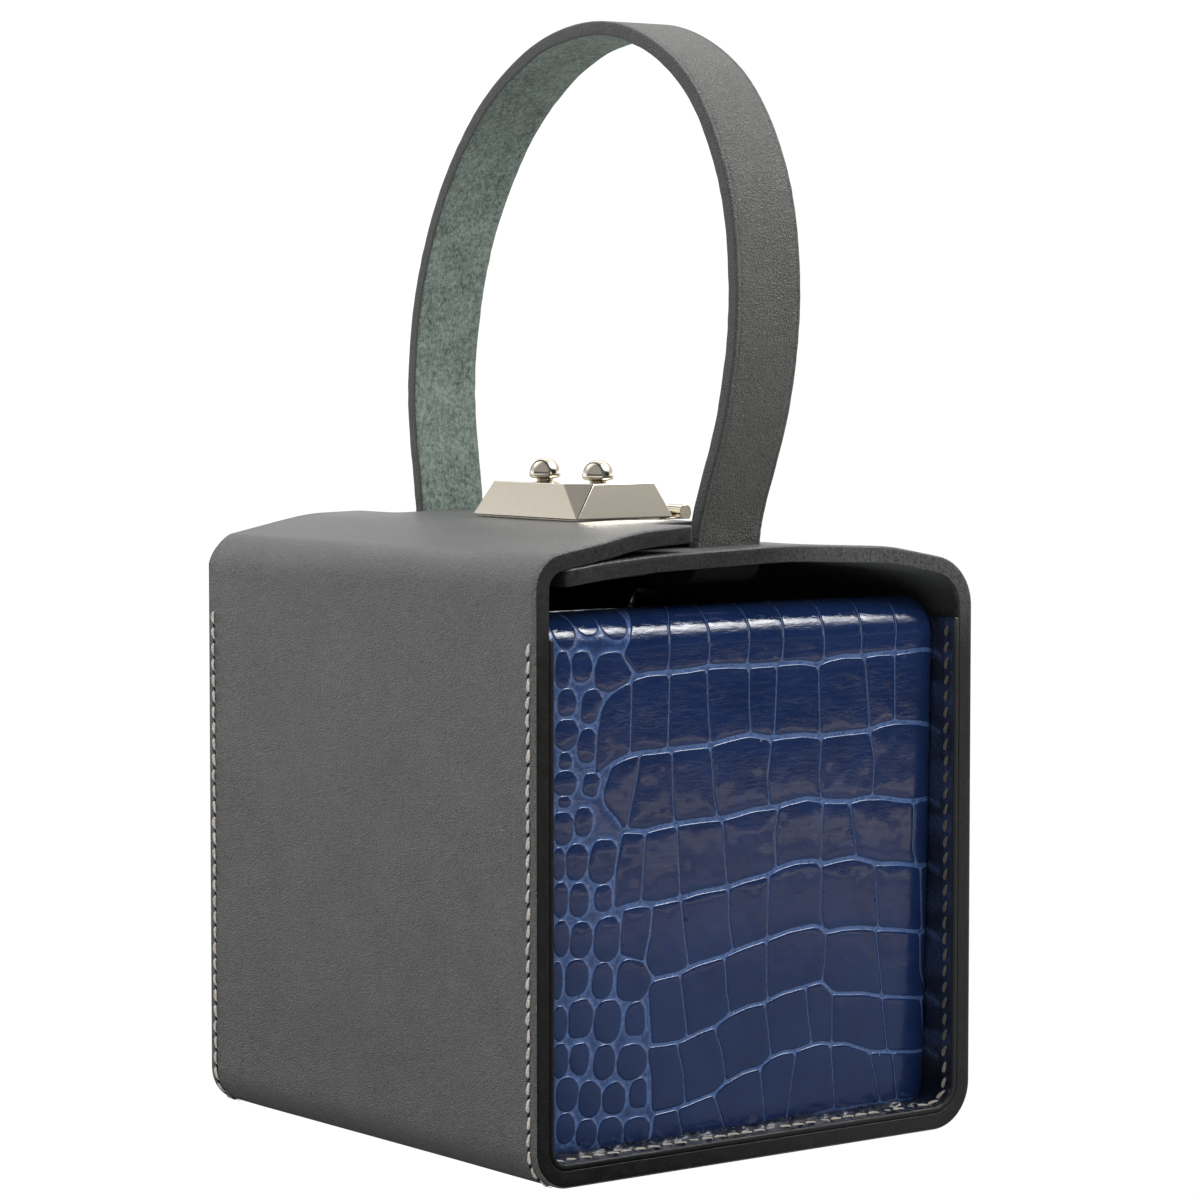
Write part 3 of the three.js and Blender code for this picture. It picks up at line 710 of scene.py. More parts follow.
def front_lift(s, y):
    """The flaps stand up a little along their front cut edges and under the clasp."""
    p, _, _ = band.at(s)
    upper = np.interp(p[:, 0], [-64, -61, -58, -44, -36, -29, -20, 18], [0, 0.25, 0.5, 0.5, 1.0, 1.4, 1.8, 1.8])
    lower = np.interp(p[:, 0], [-56.5, -50, -45, 38, 51, 60, 65], [0.3, 0.6, 0.8, 0.8, 0.4, 0.05, 0])
    lift = np.where(s < 95, upper, np.where(s > S_RIGHT + 3, lower, 0.0))
    lift = lift * smoothstep((-np.asarray(y) - 28) / 40.0)
    under_clasp = np.interp(p[:, 0], [-61, -52, -44, -30, 7.5, 12.5], [0, 0.42, 0.8, 1, 1, 0]) * (s < 95)
    return lift + 0.6 * under_clasp * smoothstep((np.asarray(y) + 64) / 22)


def band_point(s, y, depth):
    s, y, depth = np.broadcast_arrays(np.asarray(s, float), np.asarray(y, float), np.asarray(depth, float))
    p, n, _ = band.at(s)
    # the bend between the left wall and the upper flap gets softer towards the back
    soft = 2 * np.maximum(-n[:, 0] * n[:, 1], 0) * (n[:, 1] > 0) * (p[:, 0] < 0) * smoothstep((y + 25) / 80)
    q = p - n * (depth + 0.9 * soft)[:, None]
    return np.stack([q[:, 0], y, q[:, 1] + front_lift(s, y)], -1)


BAND_RINGS = [  # distance in from the cut edge, depth under the outer face
    (1.35, 0.0),
    (1.00, 0.02),
    (0.82, 0.11),
    (0.70, 0.13),
    (0.56, 0.03),
    (0.34, 0.03),
    (0.12, 0.14),
    (0.0, 0.40),
    (0.0, 1.2),
    (0.0, 2.0),
    (0.0, 2.9),
    (0.0, 3.6),
    (0.0, 3.8),
    (0.03, 3.9),
    (1.35, 3.9),
]
HOLE_RINGS = [(0.35, 0.0), (0.1, 0.1), (0.0, 0.35), (0.0, 3.6), (0.25, 3.9)]


def circle_loop(s, y, r, n=28):
    a = -np.arange(n) * 2 * math.pi / n
    return np.stack([s + r * np.cos(a), y + r * np.sin(a)], -1)


def make_band():
    grid_s = spread(0, band.length)
    outline = rounded(
        [
            (0, -TONGUE_Y, TONGUE_CORNER),
            (S_FLAP, -TONGUE_Y, TONGUE_ROOT),
            (S_FLAP, -Y0, 1.6),
            (band.length, -Y0, 1.6),
            (band.length, Y0, 1.6),
            (S_FLAP, Y0, 1.6),
            (S_FLAP, TONGUE_Y, TONGUE_ROOT),
            (0, TONGUE_Y, TONGUE_CORNER),
        ],
        closed=True,
        step=0.2,
    )
    loop = []
    for a, b in zip(outline, np.roll(outline, -1, axis=0)):
        loop.append(a)
        d = b - a
        if abs(d[1]) < 1e-6 and abs(d[0]) > 1:
            g = grid_s[(grid_s > min(a[0], b[0]) + 0.4) & (grid_s < max(a[0], b[0]) - 0.4)]
            g = g if d[0] > 0 else g[::-1]
            loop += [np.array([x, a[1]]) for x in g]
        elif abs(d[0]) < 1e-6 and abs(d[1]) > 1:
            k = max(1, int(abs(d[1]) / 1.8))
            loop += [a + d * i / k for i in range(1, k)]
    loop = np.array(loop)
    hole_s = s_where(0, 0.0, S_RIGHT, band.length)
    post_s = s_where(0, -4.0, S_RIGHT, band.length)
    tongue_s = s_where(0, -4.0, 0, 60)
    holes = [
        rounded([(hole_s - 10, y - 2.45, 0.8), (hole_s - 10, y + 2.45, 0.8), (hole_s + 10, y + 2.45, 0.8), (hole_s + 10, y - 2.45, 0.8)], closed=True, step=0.3)
        for y in (56.0, -53.5)
    ]
    holes += [circle_loop(post_s, 0, 2.3), circle_loop(tongue_s, 0, 3.6)]

    param, rings = [], []  # rows of s, y, depth

    def add(points, depth):
        k = sum(len(p) for p in param)
        param.append(np.column_stack([points, np.full(len(points), depth)]))
        return k + np.arange(len(points))

    rng = np.random.default_rng(5)
    rough = rng.normal(0, 1, len(loop))
    flap = ((loop[:, 0] < 88) | (loop[:, 0] > S_RIGHT + 8)).astype(float)
    faces, index = [], []
    ring_ids = []
    for k, (d, depth) in enumerate(BAND_RINGS):
        pts = inset(loop, d)
        ids = add(pts, depth)
        if k in (10, 11, 12):
            param[-1][:, 2] += rough * 0.07 * flap
        ring_ids.append(ids)
    n = len(loop)
    for k in range(len(BAND_RINGS) - 1):
        a, b = ring_ids[k], ring_ids[k + 1]
        kind = 0 if k < 7 else 1
        for j in range(n):
            m = (j + 1) % n
            faces.append((a[j], a[m], b[m], b[j]))
            index.append(kind)
    top_loops, bottom_loops = [(inset(loop, BAND_RINGS[0][0]), ring_ids[0])], [(inset(loop, BAND_RINGS[-1][0]), ring_ids[-1])]
    for h in holes:
        ids = [add(inset(h, d), depth) for d, depth in HOLE_RINGS]
        for k in range(len(HOLE_RINGS) - 1):
            for j in range(len(h)):
                m = (j + 1) % len(h)
                faces.append((ids[k][j], ids[k][m], ids[k + 1][m], ids[k + 1][j]))
                index.append(1 if k >= 2 else 0)
        top_loops.append((inset(h, HOLE_RINGS[0][0]), ids[0]))
        bottom_loops.append((inset(h, HOLE_RINGS[-1][0]), ids[-1]))

    ys = sorted({e * s for s in (-1, 1) for e in (Y0 - 1.75, Y0 - 2.15, Y0 - 2.55, Y0 - 2.95, Y0 - 3.4, Y0 - 5.5)} | set(np.linspace(-58, 58, 21)))
    gs, gy = np.meshgrid(np.r_[grid_s[1:-1:2], S_LEFT - 0.3, S_RIGHT + 0.3], ys)
    fine = np.abs(np.abs(gy) - (Y0 - 2.55)) < 1.2
    grid = np.column_stack([gs[:, :].ravel(), gy.ravel()])
    rim = inset(loop, 1.75)
    ok = inside(grid, [rim])
    for h in holes:
        ok &= ~inside(grid, [inset(h, 1.0)])
    grid = grid[ok]
    groove = (np.abs(np.abs(grid[:, 1]) - (Y0 - 2.55)) < 0.1) * 0.17 + (np.abs(np.abs(np.abs(grid[:, 1]) - (Y0 - 2.55)) - 0.4) < 0.05) * 0.07
    groove *= (grid[:, 0] > S_LEFT - 0.5) & (grid[:, 0] < S_RIGHT + 0.5)
    wave = 0.10 * noise2(grid[:, 0], grid[:, 1], 3, 26) * smoothstep((Y0 - 6 - np.abs(grid[:, 1])) / 8)
    for side, (loops, depth) in enumerate(((top_loops, groove + wave), (bottom_loops, BAND_T + wave))):
        verts, tri = fill([l for l, _ in loops], grid)
        ids = np.concatenate([i for _, i in loops])
        inner = verts[len(ids):]
        k = sum(len(p) for p in param)
        d = np.zeros(len(inner)) + (0 if side == 0 else BAND_T)
        d[: len(grid)] = depth
        param.append(np.column_stack([inner, d]))
        ids = np.r_[ids, k + np.arange(len(inner))]
        for f in tri:
            faces.append(tuple(ids[f]))
            index.append(0 if side == 0 else 2)
    q = np.vstack(param)
    pos = band_point(q[:, 0], q[:, 1], q[:, 2])
    o = make("band_leather", pos, faces, [GRAIN, EDGE, BACK], index, floats={"under": q[:, 2] / BAND_T})
    recalc(o)
    return o


# ------------------------------------------------------------------ gussets
PX, SIDE_R = 59.15, 1.7  # where the panel's folded side edge ends, and its radius
U_FLAT = PX - SIDE_R
U_MAX = U_FLAT + SIDE_R * math.pi / 2
panel_path = Path(rounded([(-55.0, 4.4, 0), (-58.09, 4.4, 2.0), (-61.0, 128.2, 8.5), (-46.4, 127.4, 0)], step=0.05))
_low = (panel_path.s < 20) & (panel_path.p[:, 1] < 6.65)
V_OFFSET = panel_path.s[_low][-1] - 2.0
V_MIN, V_MAX = -V_OFFSET, panel_path.length - V_OFFSET


def panel_base(u, v):
    arc = np.maximum(np.abs(u) - U_FLAT, 0) / SIDE_R
    x = np.sign(u) * (np.minimum(np.abs(u), U_FLAT) + SIDE_R * np.sin(np.minimum(arc, math.pi / 2)))
    back = SIDE_R * (1 - np.cos(np.minimum(arc, math.pi / 2)))
    p, n, _ = panel_path.at(v + V_OFFSET)
    back = back * (1 - 0.75 * smoothstep((v - 119) / 9)) * (1 - 0.6 * smoothstep((3 - v) / 4))
    y = p[:, 0] + n[:, 0] * back
    z = p[:, 1] + n[:, 1] * back
    de = PX - np.abs(x)
    top = np.clip((3.0 - de) / 3.0, 0, 1)
    z = z - 3.2 * (1 - np.sqrt(1 - top**2)) * smoothstep((v - 97) / 25)
    r = np.where(x < 0, 4.6, 4.8)
    low = np.maximum(r - de, 0)
    z = z + (r - np.sqrt(np.maximum(r**2 - low**2, 0))) * smoothstep((13 - v) / 11) * 0.9
    # the panel is pressed from soft leather and isn't quite flat
    y = y - 0.35 * noise2(u, v, 11, 41) * smoothstep((U_FLAT - np.abs(u)) / 12) * smoothstep((118 - v) / 15) * smoothstep((v - 4) / 12)
    return np.stack([x, y, z], -1)


def panel_point(u, v, h):
    u, v, h = np.broadcast_arrays(np.asarray(u, float), np.asarray(v, float), np.asarray(h, float))
    e = 0.02
    uc = np.clip(u, -U_MAX + e, U_MAX - e)
    vc = np.clip(v, V_MIN + e, V_MAX - e)
    du = panel_base(uc + e, vc) - panel_base(uc - e, vc)
    dv = panel_base(uc, vc + e) - panel_base(uc, vc - e)
    n = np.cross(du, dv)
    n /= np.maximum(np.linalg.norm(n, axis=1), 1e-12)[:, None]
    return panel_base(u, v) + n * h[:, None]


def blunt(poly, step=0.5, rounds=5):
    """A closed outline resampled evenly, its corners worn round."""
    p = np.asarray(poly, float)
    q = np.vstack([p, p[:1]])
    seg = np.linalg.norm(np.diff(q, axis=0), axis=1)
    s = np.r_[0, np.cumsum(seg)]
    n = max(12, int(s[-1] / step))
    t = np.arange(n) * s[-1] / n
    p = np.stack([np.interp(t, s, q[:, k]) for k in (0, 1)], -1)
    for _ in range(rounds):
        p = 0.5 * p + 0.25 * (np.roll(p, 1, axis=0) + np.roll(p, -1, axis=0))
    return p


SIDE_HALF = 0.045  # half the width of the creases between the broad scales


def scale_outlines():
    rng = np.random.default_rng(17)
    row = []
    for k in range(9):
        half, pts = ROW_CREASES[f"c{k}"]
        pts = np.array(pts)
        pts = np.vstack([pts[:1] - [[6, 0]], pts, [[U_MAX, pts[-1, 1]]]]) if k else np.vstack([[[-U_MAX, 126.3]], pts, [[U_MAX, pts[-1, 1]]]])
        pts = pts[np.r_[pts[:-1, 0] < U_MAX - 0.05, True]]
        row.append((half, pts))
    top_of = lambda k, x: np.interp(x, row[k][1][:, 0], row[k][1][:, 1]) - row[k][0]
    foot_of = lambda k, x: np.interp(x, row[k][1][:, 0], row[k][1][:, 1]) + row[k][0]
    cells = []
    for i, lines in enumerate(SIDE_CREASES):
        sides = []
        for j, line in enumerate(lines):
            l = np.array(line, float)[::-1]
            if j == len(lines) - 1:
                l = np.column_stack([np.full(len(l), U_MAX - 0.45 + 0.12 * math.sin(i * 2.3)), l[:, 1]])
            sides.append(l)
        for a, b in zip(sides[:-1], sides[1:]):
            x_of = lambda l, v: np.interp(v, l[:, 1], l[:, 0])

            def corner(l, shift, edge):
                x = x_of(l, l[-1, 1] if edge is top_of else l[0, 1]) + shift
                for _ in range(8):
                    v = edge(i if edge is top_of else i + 1, x)
                    x = x_of(l, v) + shift
                return np.array([x, v])

            tl, bl = corner(a, SIDE_HALF, top_of), corner(a, SIDE_HALF, foot_of)
            tr, br = corner(b, -SIDE_HALF, top_of), corner(b, -SIDE_HALF, foot_of)
            t = np.linspace(0, 1, 25)[:, None]
            f = t[:-1, 0]
            left = lambda v: x_of(a, v) + SIDE_HALF
            right = lambda v: x_of(b, v) - SIDE_HALF
            v = bl[1] + (tl[1] - bl[1]) * (1 - f)
            west = np.column_stack([left(v), v])
            x = bl[0] + (br[0] - bl[0]) * f
            south = np.column_stack([x, foot_of(i + 1, x)])
            v = br[1] + (tr[1] - br[1]) * f
            east = np.column_stack([right(v), v])
            x = tr[0] + (tl[0] - tr[0]) * f
            north = np.column_stack([x, top_of(i, x)])
            poly = np.vstack([west, south, east, north])
            area = 0.5 * np.sum(poly[:, 0] * np.roll(poly[:, 1], -1) - poly[:, 1] * np.roll(poly[:, 0], -1))
            if area < 0:
                poly = poly[::-1]
            cells.append({"poly": blunt(poly), "small": False})
    cells.append({"poly": blunt(LONE_SCALE, rounds=3), "small": False})
    small = list(SMALL_SCALES)
    v = 4.0
    while v < 121:
        small.append((-57.6 + rng.uniform(-0.3, 0.3), v + rng.uniform(-0.5, 0.5), 4.6 + rng.uniform(-0.5, 0.5), 6.4 + rng.uniform(-0.6, 0.6), rng.uniform(-6, 6)))
        v += 7.5
    return cells + pack_small(small, [c["poly"] for c in cells], rng)


def pack_small(small, fixed, rng):
    """Small scales start a little under their charted size and grow until they nearly touch."""
    from mathutils.kdtree import KDTree

    count = 44
    a = np.arange(count) * 2 * math.pi / count
    shapes = []
    for cx, cv, w, l, tilt in small:
        r = ((np.abs(np.cos(a)) * 2 / w) ** 2.5 + (np.abs(np.sin(a)) * 2 / l) ** 2.5) ** (-1 / 2.5)
        t = -math.radians(tilt)
        d = np.column_stack([np.cos(a + t), np.sin(a + t)])
        shapes.append([np.array([cx, cv]), d, r * 0.62, r * 1.22 + 0.25])
    still = np.vstack(fixed)
    gap = 0.17
    for _ in range(26):
        outline = [c + d * r[:, None] for c, d, r, _ in shapes]
        tree = KDTree(sum(map(len, outline)) + len(still))
        owner = []
        for i, o in enumerate(outline):
            for q in o:
                tree.insert((q[0], q[1], 0), len(owner))
                owner.append(i)
        for q in still:
            tree.insert((q[0], q[1], 0), len(owner))
            owner.append(-1)
        tree.balance()
        for i, sh in enumerate(shapes):
            c, d, r, limit = sh
            grow = np.minimum(r + 0.13, limit)
            q = c + d * (grow + gap)[:, None]
            ok = np.ones(count, bool)
            for k in range(count):
                if not -U_MAX + 0.3 < q[k, 0] or not 0.7 < q[k, 1] < 131:
                    ok[k] = False
                    continue
                for _, idx, dist in tree.find_range((q[k, 0], q[k, 1], 0), 0.31):
                    if owner[idx] != i:
                        ok[k] = False
                        break
            r = np.where(ok, grow, r)
            r = 0.5 * r + 0.25 * (np.roll(r, 1) + np.roll(r, -1))
            sh[2] = r
    cells = []
    for c, d, r, _ in shapes:
        p = blunt(c + d * r[:, None], 0.5, 1)
        if np.ptp(p[:, 0]) < 1.2:
            continue
        for _ in range(12):
            if not any(inside(p, [f]).any() or inside(f, [p]).any() for f in fixed + [x["poly"] for x in cells]):
                break
            p = p.mean(axis=0) + (p - p.mean(axis=0)) * 0.95
        else:
            continue
        cells.append({"poly": p, "small": True})
    return cells


SCALE_RINGS = [(0.0, -0.12, 0.85), (0.05, -0.08, 0.5), (0.14, -0.01, 0.0), (0.60, 0.03, 0.0)]


def make_gussets():
    from mathutils.kdtree import KDTree

    rng = np.random.default_rng(29)
    cells = scale_outlines()
    uvhc, faces = [], []

    def add(points, h, c):
        k = sum(len(p) for p in uvhc)
        h = np.broadcast_to(np.asarray(h, float), (len(points),))
        c = np.broadcast_to(np.asarray(c, float), (len(points),))
        uvhc.append(np.column_stack([points, h, c]))
        return k + np.arange(len(points))

    rims = []
    for cell in cells:
        poly = cell["poly"]
        n = len(poly)
        ids = []
        for d, h, c in SCALE_RINGS:
            ids.append(add(inset(poly, d), h, c))
        for a, b in zip(ids[:-1], ids[1:]):
            faces += [(a[j], a[(j + 1) % n], b[(j + 1) % n], b[j]) for j in range(n)]
        rims.append((poly, ids[0]))
        core = inset(poly, SCALE_RINGS[-1][0])
        lo, hi = core.min(axis=0), core.max(axis=0)
        step = 0.95 if cell["small"] else 1.25
        g = np.stack(np.meshgrid(np.arange(lo[0] + 0.4, hi[0], step), np.arange(lo[1] + 0.4, hi[1], step)), -1).reshape(-1, 2)
        if len(g):
            g = g + rng.uniform(-0.12, 0.12, g.shape)
            g = g[inside(g, [inset(core, 0.3)])]
        verts, tri = fill([core], g)
        inner = verts[len(core):]
        k = len(core)
        if len(inner):
            d = np.min(np.linalg.norm(inner[:, None] - core[None], axis=2), axis=1)
            size = (hi - lo) / 2
            mid = (hi + lo) / 2
            rel = (inner - mid) / np.maximum(size, 0.5)
            peak = 0.14 if cell["small"] else 0.07
            lean = rng.uniform(-0.05, 0.05)
            h = 0.03 + peak * (1 - np.exp(-d / 1.6)) + lean * rel[:, 0] * 1.0
            h = h + 0.05 * noise2(inner[:, 0], inner[:, 1], 7, 2.6) * smoothstep(d / 1.5)
            new = add(inner, h, 0.0)
        else:
            new = np.array([], int)
        table = np.r_[ids[-1], new].astype(int)
        faces += [tuple(table[f]) for f in tri]

    # leather between the scales, and the plain strips at the top and foot
    corners = [(-U_MAX, V_MIN), (U_MAX, V_MIN), (U_MAX, V_MAX), (-U_MAX, V_MAX)]
    border = []
    for a, b in zip(corners, corners[1:] + corners[:1]):
        a, b = np.array(a), np.array(b)
        k = int(np.linalg.norm(b - a) / 0.9)
        border += [a + (b - a) * i / k for i in range(k)]
    border = np.array(border)
    edge_ids = add(border, -0.1, 0.25)
    tree = KDTree(sum(len(p) for p, _ in rims))
    k = 0
    for poly, _ in rims:
        for q in poly:
            tree.insert((q[0], q[1], 0), k)
            k += 1
    tree.balance()
    us = np.unique(np.r_[np.arange(-U_MAX + 0.5, U_MAX - 0.3, 0.8)])
    g = np.stack(np.meshgrid(us, np.arange(V_MIN + 0.5, V_MAX - 0.3, 0.8)), -1).reshape(-1, 2)
    g = g + rng.uniform(-0.15, 0.15, g.shape)
    g = g[~inside(g, [p for p, _ in rims])]
    d = np.array([tree.find((a, b, 0))[2] for a, b in g])
    g, d = g[d > 0.42], d[d > 0.42]
    plain = (g[:, 1] > 128.2) | (g[:, 1] < 0.2)
    h = np.where(plain, -0.02, -0.10 + 0.03 * np.minimum(d, 1.5))
    c = np.where(plain, 0.05, np.interp(d, [0.42, 0.8, 1.3], [0.5, 0.34, 0.12]))
    verts, tri = fill([border] + [p for p, _ in rims], g)
    loops = np.concatenate([edge_ids] + [i for _, i in rims])
    extra = verts[len(loops):]
    hh, cc = np.full(len(extra), -0.12), np.full(len(extra), 0.28)
    hh[: len(g)], cc[: len(g)] = h, c
    table = np.r_[loops, add(extra, hh, cc)].astype(int)
    faces += [tuple(table[f]) for f in tri]

    # back face of the leather
    rim_back = add(border, -1.8, 0.0)
    m = len(border)
    faces += [(edge_ids[j], rim_back[j], rim_back[(j + 1) % m], edge_ids[(j + 1) % m]) for j in range(m)]
    g = np.stack(np.meshgrid(np.r_[np.arange(-56, 57, 4.0), -58, 58, -59.3, 59.3], np.r_[np.arange(3, 116, 5.0), np.arange(116, V_MAX - 0.5, 1.0)]), -1).reshape(-1, 2)
    verts, tri = fill([border], g)
    table = np.r_[rim_back, add(verts[m:], -1.8, 0.0)].astype(int)
    faces += [tuple(table[f][::-1]) for f in tri]

    q = np.vstack(uvhc)
    pos = panel_point(q[:, 0], q[:, 1], q[:, 2])
    crease = q[:, 3]

    # flange sewn inside the band: front edge, stitch line, then back to the panel
    uline = Path(rounded([(-60.8, STITCH_TOP, 0), (-60.8, 4.2, 4.8), (60.8, 4.2, 6.8), (60.8, STITCH_TOP, 0)], step=0.12))
    t = 1.55
    section = [(12.0, 0.02), (9.0, 0.02), (5.0, 0.02), (0.6, 0.0), (0.12, -0.06), (0.03, -0.04), (0.02, 0.5), (0.02, 0.9), (0.12, 1.1), (0.4, 1.22), (1.1, t - 0.22)]
    section += [(1.85, t - 0.08), (2.2, t - 0.06), (2.55, t - 0.16), (2.9, t - 0.04), (3.3, t), (3.6, t), (3.8, t), (4.05, t), (4.4, t), (4.8, t), (5.2, t), (5.7, t), (6.4, t), (7.2, t), (8.0, t), (8.8, t), (9.6, t), (10.6, t), (12.0, t)]
    sec = np.array(section)
    count = int(uline.length / 0.5)
    s = np.linspace(0, uline.length, count)
    p, n, _ = uline.at(s)
    ss, ii = np.meshgrid(s, sec[:, 0], indexing="ij")
    depth = np.broadcast_to(sec[:, 1], ss.shape).copy()
    innerface = sec[:, 1] > 1.25
    bottom = smoothstep((s - 118) / 8) * smoothstep((uline.length - 118 - s) / 8)
    away = smoothstep((ii - 0.35) / 1.0)
    pleat = noise2(ss * 1.0 + ii * 0.6, ii * 0.5, 21, 2.4) * 0.5 + noise2(ss + ii * 1.3, ii, 22, 1.1) * 0.24
    side = noise2(ss, ii * 0.5, 23, 3.4) * 0.16 + noise2(ss, ii, 24, 1.4) * 0.05
    depth += np.where(innerface[None, :], (bottom[:, None] * pleat + (1 - bottom[:, None]) * side) * away, 0)
    ridge = np.clip(noise2(ss, ii * 0.15, 26, 1.4) + 0.6, 0, 1) * np.interp(ii, [3.55, 3.8, 4.05, 4.4, 5.2], [0, 0.62, 0.95, 1, 0])
    depth += np.where(innerface[None, :], 1.15 * ridge * bottom[:, None], 0)
    phase = np.cos((s - (uline.length / 2)) / STITCH_PITCH * 2 * math.pi)
    near = np.exp(-(((ii - 2.55) / 1.3) ** 2))
    depth += np.where(innerface[None, :], 0.10 * phase[:, None] * near, 0)
    xyz = np.stack([p[:, None, 0] - n[:, None, 0] * depth, -Y0 + ii, p[:, None, 1] - n[:, None, 1] * depth], -1)
    base = len(pos)
    m = len(sec)
    fl = tube_faces(count, m)
    light = np.clip(noise2(ss, ii * 0.6, 25, 4.0) * 0.5 + 0.05, 0, 0.4) * away * innerface[None, :]
    light += np.exp(-(((ii - 2.55) / 0.35) ** 2)) * 0.25 * innerface[None, :]
    # the row creases run on over the fold on to the side flanges
    for k in range(1, 8):
        half, pts = ROW_CREASES[f"c{k}"]
        for sgn, end in ((1, pts[-1][1]), (-1, pts[0][1] + rng.uniform(-3, 3))):
            where = s if sgn < 0 else uline.length - s
            z_here = STITCH_TOP - where
            on = np.exp(-(((z_here[:, None] - (end + 4.4 - 0.35 * (9 - ii))) / 0.8) ** 2)) * smoothstep((ii - 3.6) / 1.5)
            on *= (p[:, 0] * sgn > 50)[:, None]
            light += 0.7 * on * innerface[None, :]
            xyz[..., 0] += sgn * 0.12 * on * innerface[None, :]
    pos = np.vstack([pos, xyz.reshape(-1, 3)])
    crease = np.r_[crease, np.clip(light, 0, 1).ravel()]
    # Flange faces take the darker copy of the blue croc (painted shade); the front edge rings take the cut-edge finish.
    index = [0] * len(faces) + [2 if 2 <= k % m <= 8 else 1 for k in range(len(fl))]
    faces += [tuple(base + np.array(f)) for f in fl]

    front = make("gusset_leather_front", pos, faces, [CROC, FLANGE_PAINTED_SHADE, EDGE], index, floats={"crease": crease})
    recalc(front)
    back = make("gusset_leather_back", pos * [[1, -1, 1]], faces, [CROC, FLANGE_PAINTED_SHADE, EDGE], index, floats={"crease": crease})
    recalc(back)
    return front, back


# ------------------------------------------------------------------ handle
def spline(points, per=24):
    """Centripetal Catmull-Rom through the points."""
    p = np.array(points, float)
    p = np.vstack([2 * p[0] - p[1], p, 2 * p[-1] - p[-2]])
    out = []
    for a, b, c, d in zip(p[:-3], p[1:-2], p[2:-1], p[3:]):
        t0 = 0.0
        t1 = t0 + np.linalg.norm(b - a) ** 0.5
        t2 = t1 + np.linalg.norm(c - b) ** 0.5
        t3 = t2 + np.linalg.norm(d - c) ** 0.5
        for t in np.linspace(t1, t2, per, endpoint=False):
            a1 = (t1 - t) / (t1 - t0) * a + (t - t0) / (t1 - t0) * b
            a2 = (t2 - t) / (t2 - t1) * b + (t - t1) / (t2 - t1) * c
            a3 = (t3 - t) / (t3 - t2) * c + (t - t2) / (t3 - t2) * d
            b1 = (t2 - t) / (t2 - t0) * a1 + (t - t0) / (t2 - t0) * a2
            b2 = (t3 - t) / (t3 - t1) * a2 + (t - t1) / (t3 - t1) * a3
            out.append((t2 - t) / (t2 - t1) * b1 + (t - t1) / (t2 - t1) * b2)
    out.append(p[-2])
    return np.array(out)


